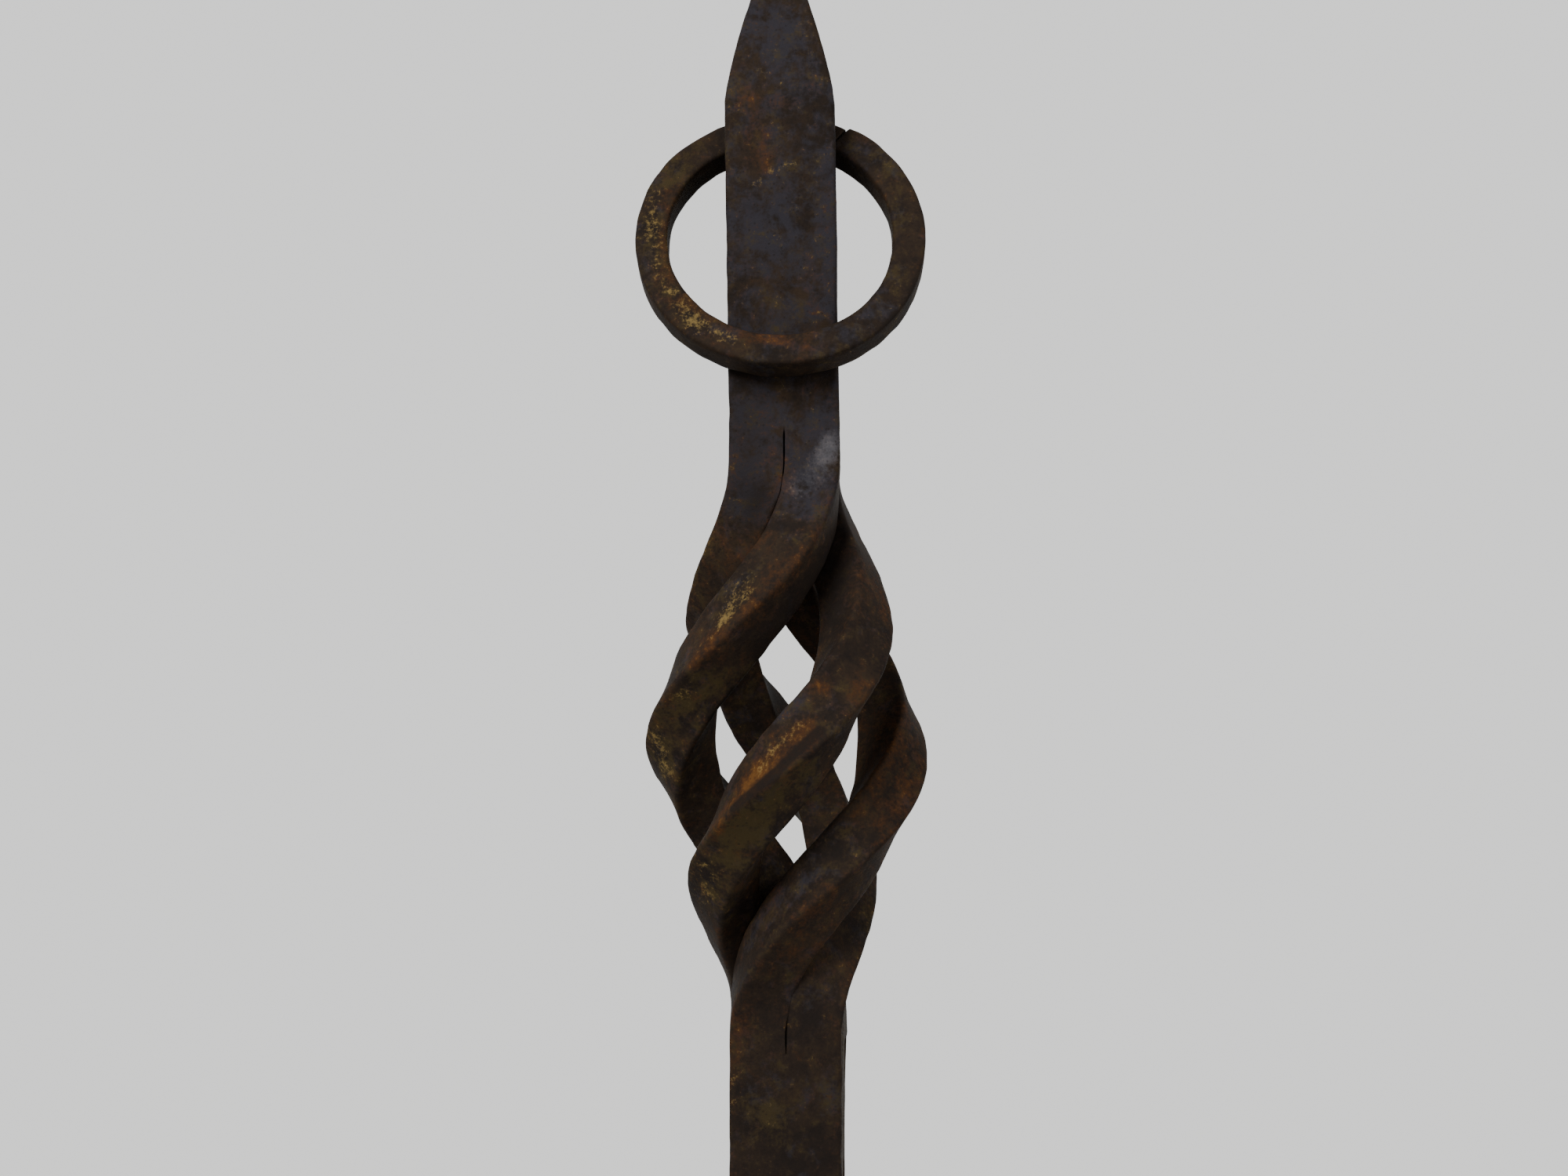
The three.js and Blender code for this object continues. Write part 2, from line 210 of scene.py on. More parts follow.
class IronSettings(bpy.types.PropertyGroup):
    """The finish of the old iron."""

    # Dark also serves as painted shade, laid on by the soot field in creases and on shaded faces of the
    # rods.
    dark: colour("Dark", "Oxide in the hollows", (0.0130, 0.0096, 0.0080))
    brown: colour("Brown", "Most of the surface", (0.030, 0.0192, 0.0120))
    olive: colour("Olive", "Greenish brown haze of old rust", (0.043, 0.0305, 0.0122))
    # Slate also serves as a painted sheen: a blue-grey reflection on the head, along its right edge and
    # on the neck beside the slit.
    slate_and_sheen: colour("Slate", "Blue and purple bloom on the oxide", (0.0250, 0.0232, 0.0285))
    red_rust: colour("Red rust", "Thin red-brown rust", (0.060, 0.0245, 0.0092))
    orange_rust: colour("Orange rust", "Thicker orange rust", (0.120, 0.052, 0.0135))
    ochre: colour("Ochre", "Yellow dust on the rust", (0.20, 0.135, 0.046))
    # Bare also serves as a painted sheen along the head's right edge and on the neck beside the slit.
    bare_and_sheen: colour("Bare", "Iron rubbed bare", (0.125, 0.12, 0.128))
    dent: length("Dents", "Depth of the hammer marks", 0.16 * MM)
    wave: length("Waves", "How far the faces are out of true", 0.22 * MM)
    scale: length("Scale", "Depth of the fire scale", 0.045 * MM)
    nick: length("Nicks", "Depth of the wear along the edges", 0.30 * MM)


class StageSettings(bpy.types.PropertyGroup):
    """Floor, light and camera."""

    floor: colour("Floor", "Pale floor", (0.80, 0.80, 0.79))
    behind: colour("Behind", "Pale surround behind the object", (1.14, 1.14, 1.13))
    before: colour("Before", "Dimmer surround on the camera's side", (0.41, 0.41, 0.41))
    key: share("Key", "Power of the soft light at the upper left, in watts", 31.0)
    fill: share("Fill", "Power of the soft light at the right, in watts", 12.0)
    clear: length("Clear", "Radius of the floor that is quite solid", 0.22)
    faded: length("Faded", "Radius at which the floor has faded into the surround", 0.34)
    forward: length("Floor forward", "How far the floor's middle stands before the object's", 0.03)
    camera_x: length("Camera across", "Place of the camera", 15.18 * MM)
    camera_y: length("Camera back", "Place of the camera", -549.62 * MM)
    camera_z: length("Camera height", "Place of the camera", 310.0 * MM)
    camera_turn: degrees("Camera turn", "How far the camera looks to the left", 2.5)
    camera_tilt: degrees("Camera tilt", "How far the camera looks up", 1.5)
    lens: share("Lens", "Focal length in millimetres on a 36 mm sensor", 34.2)


# ---- Shapes ----


def unit(vectors):
    """Vectors of length one in the same directions."""
    return vectors / np.maximum(np.linalg.norm(vectors, axis=-1, keepdims=True), 1e-12)


def smooth(value, start, end):
    """0 before start, 1 after end, and an even rise between them."""
    rise = np.clip((value - start) / (end - start), 0, 1)
    return rise * rise * (3 - 2 * rise)


def lumps(points, size, shift=0.0):
    """Smooth noise from about -1 to 1 at each point, with lumps of this size."""
    spots = (points / size + shift).reshape(-1, 3).tolist()
    return np.array([noise.noise(spot) for spot in spots]).reshape(points.shape[:-1])


def marks(points, size, shift=0.0):
    """0 in the middle of each hammer mark, and up to 1 on the ridges between them."""
    spots = (points / size + shift).reshape(-1, 3).tolist()
    nearest = [noise.voronoi(spot)[0][0] for spot in spots]
    return np.minimum(np.array(nearest).reshape(points.shape[:-1]), 1) ** 2


CORNER_SIGNS = ((1, 1), (-1, 1), (-1, -1), (1, -1))
CORNER_POINTS = 5


def bar_outline(half_across, half_over, rounding, side_points):
    """Outlines of a bar's section at each station, and how near each point is to a corner.

    half_across and half_over have one value for each station, and rounding has one for each of
    the four corners as well, which start at the one where both axes point.
    """
    arc = np.linspace(0, math.pi / 2, CORNER_POINTS)
    corners = []
    for index, (sign_across, sign_over) in enumerate(CORNER_SIGNS):
        radius = rounding[:, index, None]
        angle = arc + index * math.pi / 2
        x = sign_across * (half_across[:, None] - radius) + radius * np.cos(angle)
        y = sign_over * (half_over[:, None] - radius) + radius * np.sin(angle)
        corners.append(np.stack([x, y], axis=-1))
    pieces = []
    nearness = []
    steps = np.linspace(0, 1, side_points + 2)[1:-1]
    for index in range(4):
        here = corners[index]
        start = here[:, -1:, :]
        end = corners[(index + 1) % 4][:, :1, :]
        pieces += [here, start + (end - start) * steps[None, :, None]]
        nearness += [np.ones(CORNER_POINTS), np.abs(2 * steps - 1)]
    return np.concatenate(pieces, axis=1), np.concatenate(nearness)


def sweep(centres, across, over, outlines):
    """Lays outlines along a path: one ring of points for each station."""
    return (
        centres[:, None]
        + outlines[..., :1] * across[:, None]
        + outlines[..., 1:] * over[:, None]
    )


def bar_skin(centres, across, over, half_across, half_over, rounding, side_points):
    """Rings and edge numbers of a bar that is swept along a path."""
    outlines, near = bar_outline(half_across, half_over, rounding, side_points)
    return sweep(centres, across, over, outlines), np.tile(near, (len(centres), 1))


def circle(count, side, axis):
    """Points of a circle of radius one about an axis, starting at one side."""
    around = np.linspace(0, 2 * math.pi, count, endpoint=False)
    return np.cos(around)[:, None] * side + np.sin(around)[:, None] * np.cross(axis, side)


def surface_normals(rings):
    """Normals of a swept skin."""
    around = np.roll(rings, -1, axis=1) - np.roll(rings, 1, axis=1)
    along = np.gradient(rings, axis=0)
    return unit(np.cross(around, along))


# Each kind of relief: how large its lumps are, and where in the noise it starts.
Relief = namedtuple("Relief", "size shift")
WAVES = Relief(26 * MM, 0.0)
DENTS = Relief(11 * MM, 7.3)
SCALE = Relief(2.6 * MM, 3.1)
FINE_SCALE = Relief(1.2 * MM, 9.7)
NICKS = Relief(5 * MM, 5.9)

DENT_LEVEL = 0.3  # share of a dent's depth that lies under the bar's true face
FINE_SHARE = 0.5  # depth of the fine scale beside that of the scale
NICK_SPREAD = 0.15  # more of this leaves more of an edge worn
NICK_POWER = 8  # a higher power keeps the wear closer to the edge

# The bars that stand on the floor are worked deeper by these shares. They are left flat up to the
# first height, and worked in full from the second.
ROUGH_DENT = 1.5
ROUGH_WAVE = 1.2
FLAT_UNTIL = 0.2 * MM
ROUGH_FROM = 3 * MM


def work_over(rings, edge, iron, dent=1.0, wave=1.0, keep=1.0):
    """Moves a skin in and out as the hammer, the fire and years of wear have left it."""
    height = wave * iron.wave * lumps(rings, *WAVES)
    height += dent * iron.dent * (marks(rings, *DENTS) - DENT_LEVEL)
    height += iron.scale * lumps(rings, *SCALE)
    height += FINE_SHARE * iron.scale * lumps(rings, *FINE_SCALE)
    worn = np.clip(lumps(rings, *NICKS) + NICK_SPREAD, 0, 1)
    height -= iron.nick * worn * edge**NICK_POWER
    return rings + surface_normals(rings) * (height * keep)[..., None]


def work_over_legs(rings, edge, iron):
    """The same for a bar that stands on the floor: rougher, but left flat where it touches."""
    keep = smooth(rings[..., 2], FLAT_UNTIL, ROUGH_FROM)
    return work_over(rings, edge, iron, ROUGH_DENT, ROUGH_WAVE, keep)


RIM_TURNS = np.radians((30, 60, 90))
FACE_PARTS = (0.8, 0.5, 0.2)
FACE_WEAR = 0.5  # edge numbers on the end of a bar beside those on its last ring


def end_rings(ring, outward, rim):
    """Rings that turn the end of a bar over by its rim and then run in to its middle."""
    centre = ring.mean(axis=0)
    spread = ring - centre
    reach = np.linalg.norm(spread, axis=1).min()
    added = []
    if rim > 0:
        for turn in RIM_TURNS:
            inset = rim * (1 - math.cos(turn))
            added.append(centre + spread * (1 - inset / reach) + outward * rim * math.sin(turn))
    face = added[-1] if added else ring
    middle = face.mean(axis=0)
    for part in FACE_PARTS:
        added.append(middle + (face - middle) * part)
    return np.array(added)


def close_ends(rings, edge, rims=(0.0, 0.0)):
    """Closes both ends of a swept bar, and carries its edge numbers over them."""
    first = unit((rings[0] - rings[1]).mean(axis=0))
    last = unit((rings[-1] - rings[-2]).mean(axis=0))
    start = end_rings(rings[0], first, rims[0])
    finish = end_rings(rings[-1], last, rims[1])
    closed = np.concatenate([start[::-1], rings, finish])
    start_edge = np.tile(edge[0] * FACE_WEAR, (len(start), 1))
    finish_edge = np.tile(edge[-1] * FACE_WEAR, (len(finish), 1))
    return closed, np.concatenate([start_edge, edge, finish_edge])


def shell(rings):
    """Points and faces of a closed skin through rings of points."""
    stations, count, _ = rings.shape
    ends = np.array([rings[0].mean(axis=0), rings[-1].mean(axis=0)])
    points = np.concatenate([rings.reshape(-1, 3), ends])
    start = (np.arange(stations - 1) * count)[:, None]
    here = np.arange(count)[None, :]
    ahead = (here + 1) % count
    corners = (start + here, start + ahead, start + count + ahead, start + count + here)
    faces = np.stack(corners, -1).reshape(-1, 4).tolist()
    top = (stations - 1) * count
    first = stations * count
    for i in range(count):
        j = (i + 1) % count
        faces.append((j, i, first))
        faces.append((top + i, top + j, first + 1))
    return points, faces


SHARP = math.radians(42)


def forge(name, shells, stains):
    """Makes one mesh object from skins, each of which is its rings and their edge numbers.

    stains holds a group of stains for each field that has any.
    """
    points = []
    faces = []
    edges = []
    for rings, edge in shells:
        found, joined = shell(rings)
        shift = sum(len(part) for part in points)
        faces += [tuple(corner + shift for corner in face) for face in joined]
        points.append(found)
        edges.append(np.concatenate([edge.reshape(-1), [edge[0].mean(), edge[-1].mean()]]))
    points = np.concatenate(points)
    mesh = bpy.data.meshes.new(name)
    mesh.from_pydata(points.tolist(), [], faces)
    mesh.shade_smooth()
    mesh.set_sharp_from_angle(angle=SHARP)
    fields = {field: cover(points, stains.get(field, ())) for field in FIELDS}
    fields["edge"] = np.concatenate(edges)
    for field, values in fields.items():
        attribute = mesh.attributes.new(field, "FLOAT", "POINT")
        attribute.data.foreach_set("value", values.astype(np.float32))
    made = bpy.data.objects.new(name, mesh)
    bpy.context.scene.collection.objects.link(made)
    return made


# ---- Stains: soft patches of rust, dust, rubbed iron and soot, with painted sheen and painted shade among them ----

# The slate and rubbed fields also lay on painted sheen, and the soot field lays on painted shade.
FIELDS = ("rust", "ochre", "rubbed_and_sheen", "slate_and_sheen", "olive", "soot_and_painted_shade")
Stain = namedtuple("Stain", "start end radius strength")


def streak(start, end, radius, strength):
    """A long stain. Its ends are in millimetres from the standard's axis and the floor."""
    ends = (AXIS + np.array(place) * MM for place in (start, end))
    return Stain(*ends, radius * MM, strength)


def spot(x, y, z, radius, strength):
    """A round stain at one such place."""
    return streak((x, y, z), (x, y, z), radius, strength)


def cover(points, stains):
    """How much the stains of one field cover each point."""
    total = np.zeros(len(points))
    for stain in stains:
        run = stain.end - stain.start
        part = ((points - stain.start) @ run) / max(run @ run, 1e-12)
        nearest = stain.start + np.clip(part, 0, 1)[:, None] * run
        away = np.linalg.norm(points - nearest, axis=1)
        total += stain.strength * np.exp(-((away / stain.radius) ** 2))
    return total


# ---- The finish ----


class Network:
    """Builds a tree of shader nodes, one node at a time."""

    def __init__(self, tree, place="Object"):
        self.tree = tree
        self.place = tree.nodes.new("ShaderNodeTexCoord").outputs[place]

    def feed(self, socket, value):
        """Links a socket to another node's output, or sets it to a plain value."""
        if isinstance(value, bpy.types.NodeSocket):
            self.tree.links.new(value, socket)
        else:
            socket.default_value = value

    def noise(self, size, detail, rough, twist=0.0):
        """Noise with lumps of this size in metres, from 0 to 1."""
        node = self.tree.nodes.new("ShaderNodeTexNoise")
        self.feed(node.inputs["Vector"], self.place)
        node.inputs["Scale"].default_value = 1 / size
        node.inputs["Detail"].default_value = detail
        node.inputs["Roughness"].default_value = rough
        node.inputs["Distortion"].default_value = twist
        return node.outputs["Fac"]

    def cells(self, size):
        """Distance to the nearest of scattered points this far apart, from 0 to about 1."""
        node = self.tree.nodes.new("ShaderNodeTexVoronoi")
        self.feed(node.inputs["Vector"], self.place)
        node.inputs["Scale"].default_value = 1 / size
        return node.outputs["Distance"]

    def field(self, name):
        """A number that the mesh holds for each of its points."""
        node = self.tree.nodes.new("ShaderNodeAttribute")
        node.attribute_name = name
        return node.outputs["Fac"]

    def sum(self, first, *terms):
        """Adds outputs, each with its weight, to the first number."""
        total = first
        for value, weight in terms:
            node = self.tree.nodes.new("ShaderNodeMath")
            node.operation = "MULTIPLY_ADD"
            self.feed(node.inputs[0], value)
            node.inputs[1].default_value = weight
            self.feed(node.inputs[2], total)
            total = node.outputs[0]
        return total

    def step(self, value, start, end, top=1.0):
        """Rises from 0 to top as the value goes from start to end."""
        node = self.tree.nodes.new("ShaderNodeMapRange")
        node.interpolation_type = "SMOOTHSTEP"
        self.feed(node.inputs["Value"], value)
        node.inputs["From Min"].default_value = start
        node.inputs["From Max"].default_value = end
        node.inputs["To Max"].default_value = top
        return node.outputs["Result"]

    def blend(self, share, under, over):
        """Lays one colour over another."""
        node = self.tree.nodes.new("ShaderNodeMix")
        node.data_type = "RGBA"
        self.feed(node.inputs["Factor"], share)
        for name, value in (("A_Color", under), ("B_Color", over)):
            socket = next(each for each in node.inputs if each.identifier == name)
            linked = isinstance(value, bpy.types.NodeSocket)
            self.feed(socket, value if linked else (*value, 1.0))
        return next(each for each in node.outputs if each.identifier == "Result_Color")

    def bump(self, height, depth):
        """A normal that makes the height stand out by this depth in metres."""
        node = self.tree.nodes.new("ShaderNodeBump")
        node.inputs["Distance"].default_value = depth
        self.feed(node.inputs["Height"], height)
        return node.outputs["Normal"]


SHEEN = 0.05  # old rust hardly shines
RELIEF_DEPTH = 0.15 * MM


def old_iron(name, iron):
    """Dark oxide under bloom, haze, rust, dust and soot, rubbed bare in places, and pitted, with painted
    sheen on the head and neck and painted shade on the rods.
    """
    material = bpy.data.materials.new(name)
    material.use_nodes = True
    shader = material.node_tree.nodes["Principled BSDF"]
    net = Network(material.node_tree)
    clouds = net.noise(15 * MM, detail=4.0, rough=0.6, twist=0.5)
    haze = net.noise(8 * MM, detail=4.0, rough=0.6, twist=0.8)
    mottle = net.noise(3.6 * MM, detail=4.0, rough=0.62, twist=0.3)
    blotch = net.noise(2.1 * MM, detail=4.0, rough=0.6, twist=0.2)
    grain = net.noise(0.8 * MM, detail=3.0, rough=0.6)
    specks = net.noise(0.33 * MM, detail=2.0, rough=0.5)
    pits = net.cells(1.5 * MM)
    edge = net.field("edge")

    oxide = net.sum(-0.9, (clouds, 0.8), (mottle, 0.7), (grain, 0.3))
    base = net.blend(net.step(oxide, -0.26, 0.26), tuple(iron.dark), tuple(iron.brown))
    # Bloom, and a painted blue-grey sheen where the slate field is laid on.
    bloom_and_sheen = net.sum(-1.03, (haze, 1.0), (blotch, 0.7), (grain, 0.2), (net.field("slate_and_sheen"), 0.24))
    base = net.blend(net.step(bloom_and_sheen, -0.08, 0.24, 0.85), base, tuple(iron.slate_and_sheen))
    green = net.sum(-1.03, (mottle, 0.9), (haze, 0.6), (grain, 0.4), (net.field("olive"), 0.24))
    base = net.blend(net.step(green, -0.06, 0.26, 0.8), base, tuple(iron.olive))

    patches = net.field("rust")
    rusty = net.sum(
        -1.15, (clouds, 0.5), (blotch, 0.9), (grain, 0.45), (edge, 0.07), (patches, 0.26)
    )
    red = net.step(rusty, -0.14, 0.30, 0.85)
    base = net.blend(red, base, tuple(iron.red_rust))
    orange = net.step(net.sum(-0.17, (rusty, 1.0), (specks, 0.2)), 0.06, 0.36, 0.75)
    base = net.blend(orange, base, tuple(iron.orange_rust))
    patches = net.field("ochre")
    dust = net.sum(
        -1.50, (mottle, 0.6), (blotch, 0.7), (grain, 0.9), (specks, 0.5), (patches, 0.32)
    )
    yellow = net.step(dust, 0.06, 0.42, 0.8)
    base = net.blend(yellow, base, tuple(iron.ochre))
    # Iron rubbed bare, and a painted pale sheen where the rubbed field is laid on.
    patches = net.field("rubbed_and_sheen")
    wear_and_sheen = net.sum(
        -0.78, (blotch, 0.4), (grain, 0.25), (specks, 0.16), (edge, 0.2), (patches, 0.36)
    )
    rubbed_and_sheen = net.step(wear_and_sheen, -0.04, 0.5, 0.85)
    base = net.blend(rubbed_and_sheen, base, tuple(iron.bare_and_sheen))
    # Painted shade: the soot field lays dark oxide over creases and over shaded faces of the rods.
    base = net.blend(net.step(net.field("soot_and_painted_shade"), 0.0, 1.0, 0.85), base, tuple(iron.dark))
    base = net.blend(net.step(pits, 0.26, 0.08, 0.5), base, tuple(iron.dark))
    net.feed(shader.inputs["Base Color"], base)

    rough = net.sum(
        0.60, (mottle, 0.14), (specks, 0.10), (red, 0.08), (yellow, 0.10), (rubbed_and_sheen, -0.14)
    )
    net.feed(shader.inputs["Roughness"], rough)
    net.feed(shader.inputs["Metallic"], net.sum(0.0, (rubbed_and_sheen, 0.6)))
    walls = net.step(pits, 0.0, 0.3)
    relief = net.sum(0.0, (mottle, 0.7), (grain, 0.5), (specks, 0.16), (walls, 0.25))
    net.feed(shader.inputs["Normal"], net.bump(relief, RELIEF_DEPTH))
    shader.inputs["Specular IOR Level"].default_value = SHEEN
    return material


def dress(piece, material, node):
    """Gives a piece its finish and ties it to the body and the node that it stands for."""
    piece.data.materials.clear()
    piece.data.materials.append(material)
    bodies = frame["record"]["behaviour"]["bodies"]
    body = next(body for body, nodes in bodies.items() if node in nodes)
    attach(piece, body)
    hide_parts(node)


# ---- The standard ----

# Stains of the standard and its basket, one group for each field. The slate and rubbed groups also hold
# painted sheen, and the soot group holds painted shade.
STANDARD_STAINS = {
    "rust": (
        spot(-8, -13, 433, 3.2, 0.9),
        spot(0, -12, 432, 3.0, 1.0),
        streak((-6, -13, 425), (-4, -13, 418), 3.0, 1.0),
        spot(8, -13, 436, 4.0, 0.5),
        streak((-12, -12, 222), (-12, -12, 196), 2.6, 0.55),
        spot(-8, -13, 219, 3.0, 0.5),
        streak((8, -20, 330), (-3, -23, 318), 3.0, 0.45),
        streak((-6, -23, 314.5), (-22, -21, 301), 2.0, 0.95),
        spot(-19, -17, 294, 2.0, 0.7),
        spot(-30, -5, 275, 3.0, 0.5),
        spot(9.5, -28, 297, 2.2, 1.0),
        spot(16.4, -28, 296, 2.4, 0.9),
        streak((6, -32, 288), (-8, -31, 276), 3.8, 1.35),
        streak((-6, -31, 279), (-14, -27, 267), 3.2, 0.9),
        spot(-19, -15, 250, 2.5, 0.8),
        streak((24, -8, 322), (28, -8, 305), 6.0, 0.75),
        streak((29, -4, 290), (28, -11, 264), 8.0, 0.75),
        streak((10, -20, 250), (2, -18, 238), 3.0, 0.4),
        spot(-9, -14, 221, 4.0, 0.4),
        streak((0, 0, 320), (0, 0, 250), 36.0, 0.45),
    ),
    "ochre": (
        streak((-8, -13, 412), (-5, -13, 414), 1.0, 0.9),
        streak((-3, -13, 415.5), (3, -13, 418), 0.9, 0.8),
        spot(10.2, -13, 392, 0.8, 1.1),
        spot(-5, -13, 439, 2.0, 0.45),
        streak((-11, -13, 208), (-11, -13, 202), 1.2, 0.6),
        streak((-3, -13, 201), (-3, -13, 195), 1.4, 0.4),
        streak((-11.5, -11.5, 340), (-13, -10, 336), 1.6, 0.5),
        streak((-18, -7, 330), (-20, -4, 325), 1.6, 0.5),
        streak((-22, -1, 322), (-22, 0, 316), 1.8, 0.45),
        streak((-8.7, -19.3, 319.7), (-13, -20.6, 312.5), 2.8, 0.9),
        streak((-6.8, -21.6, 317.7), (-19, -20.5, 305), 1.3, 0.6),
        spot(-22.4, -17.7, 295, 3.4, 0.7),
        streak((-30, -8, 284.5), (-28.5, -3, 275), 3.0, 1.0),
        streak((3, -31, 288), (-5, -31, 280), 2.8, 0.75),
        spot(0.3, -31, 285.4, 0.9, 0.9),
        streak((-17, -20, 256), (-19, -14, 248), 3.4, 0.8),
    ),
    "rubbed_and_sheen": (
        streak((-10, -8, 452), (-12, -10, 436), 0.9, 0.8),
        # Painted sheen along the head's right edge and on the neck beside the slit.
        streak((11.5, -13, 424), (11.5, -13, 408), 1.0, 0.55),
        streak((11, -13, 355), (9.6, -13, 349.5), 3.6, 0.3),
        streak((9.5, -13, 351), (5, -13, 342), 5.0, 1.15),
    ),
    "slate_and_sheen": (
        spot(-4, -13, 402, 9.0, 0.9),
        spot(-3, -13, 450, 6.0, 0.6),
        # Painted sheen along the head's right edge.
        streak((11, -13, 420), (11, -13, 385), 3.0, 1.0),
        spot(2, -13, 375, 6.0, 0.5),
        spot(9, -13, 203, 6.0, 0.4),
        # Painted sheen on the neck beside the slit.
        streak((9, -13, 357), (5, -14, 340), 5.0, 1.1),
        streak((-6, -13, 358), (-8, -12, 338), 6.0, 1.0),
        streak((7, -29, 303), (0, -29, 292), 3.5, 0.8),
        streak((5, -17, 252), (-8, -12, 238), 3.5, 0.35),
        # Bloom over the whole head, partly a painted bluish sheen.
        streak((0, 0, 455), (0, 0, 365), 26.0, 0.6),
    ),
    "olive": (
        spot(-3, -13, 198, 4.0, 1.2),
        streak((-17, -8, 332), (-22, 0, 318), 4.0, 0.6),
        streak((-15, -18, 299), (-25, -14, 289), 4.5, 0.75),
        streak((-30, -9, 288), (-28, -2, 273), 4.0, 0.8),
        streak((4, -31, 279), (-10, -27, 265), 4.5, 1.0),
        streak((-8, -28, 264), (-19, -17, 252), 5.0, 0.8),
        streak((0, 0, 280), (0, 0, 120), 36.0, 0.15),
    ),
    "soot_and_painted_shade": (
        streak((-12, -13, 369), (12, -13, 369), 1.2, 0.9),
        streak((-8, -13, 360), (-9, -13, 342), 7.0, 0.4),
        streak((-5, -12, 340), (-10, -13, 330), 3.0, 0.5),
        # Painted shade on faces of the rods that are turned from the light or hidden behind another rod.
        streak((8, -11, 324), (-5, -18, 306), 4.2, 0.8),
        streak((14, -5, 336), (11, -13, 312), 5.0, 0.75),
        # Darker between 150 and 225 mm up.
        streak((0, 0, 225), (0, 0, 150), 30.0, 0.4),
        # Painted shade in the creases along the rods' ridges.
        streak((-6, -21, 310.5), (-24, -19, 297.5), 1.3, 0.5),
        streak((8.9, -32, 287.7), (-1.4, -33.4, 277.8), 1.2, 1.6),
        streak((-1.4, -33.4, 277.8), (-10.2, -30, 270.6), 1.2, 1.6),
    ),
}


ROD_SIDE_POINTS = 12
BAR_SIDE_POINTS = 2 * ROD_SIDE_POINTS + 1
HEAD_STATIONS = 88
POINT_STATIONS = 52
FOOT_STATIONS = 140
CORE_STATIONS = 12
PEEN_STATIONS = 12

SINK = 0.3 * MM  # how far a bar runs into the one that it meets
CORE_SINK = 1 * MM  # how far a core starts inside the solid bar
CORE_ABOVE = 1.35  # the upper core's end, as a multiple of the straight part of its slits
CORE_BELOW = 1.5  # the same for the lower core
CORE_TAPER = 0.9  # how much narrower a core is at its end
PEEN_SINK = 0.4 * MM  # how far a tenon's head starts inside the bar
TIP_RIM = 0.4  # radius of the tip's rim, as a share of its width

CUTTER_REACH = 16  # half the cutter's length, in millimetres
FLARE = 0.9 * MM  # how much the hole's radius would grow by the end of its worn rim
FLARE_IN = 1.6 * MM  # how deep inside the bar the wear starts
FLARE_OUT = 0.6 * MM  # how far outside the bar it would end


def upright(context, heights, turns, half_widths, shift):
    """Rings and edge numbers of a square upright bar, turned about the axis at each height."""
    size = context.scene.andiron_standard
    across = np.stack([np.cos(turns), np.sin(turns), 0 * turns], axis=-1)
    over = np.cross(UP, across)
    rounding = np.repeat(np.minimum(size.corner, half_widths * 0.5)[:, None], 4, axis=1)
    centres = AXIS + heights[:, None] * UP + shift[:, None] * RIGHT
    return bar_skin(centres, across, over, half_widths, half_widths, rounding, BAR_SIDE_POINTS)


def slit_core(context, start, end, turn):
    """The unsplit middle of the bar, which runs on between the rods and ends in a point."""
    size = context.scene.andiron_standard
    part = np.linspace(0, 1, CORE_STATIONS)
    half = size.core / 2 * (1 - CORE_TAPER * smooth(part, 0.5, 1.0))
    turns = np.full(CORE_STATIONS, turn)
    rings, edge = upright(context, start + (end - start) * part, turns, half, 0 * part)
    return (rings, edge) if end > start else (rings[::-1], edge)


def peened_end(size, middle, facing, side):
    """The hammered-over end of a tenon: a low dome on a short upright rim."""
    turn = np.linspace(0, math.pi / 2, PEEN_STATIONS)[:-1]
    dome = size.peen_rim + (size.peen_height - size.peen_rim) * np.sin(turn)
    radius = size.peen / 2 * np.concatenate([[1], np.cos(turn)])
    height = np.concatenate([[-PEEN_SINK], dome])
    rim = circle(56, side, facing)
    rings = middle + radius[:, None, None] * rim + height[:, None, None] * facing
    edge = np.zeros(rings.shape[:2])
    edge[1:3] = 1.0
    return rings, edge


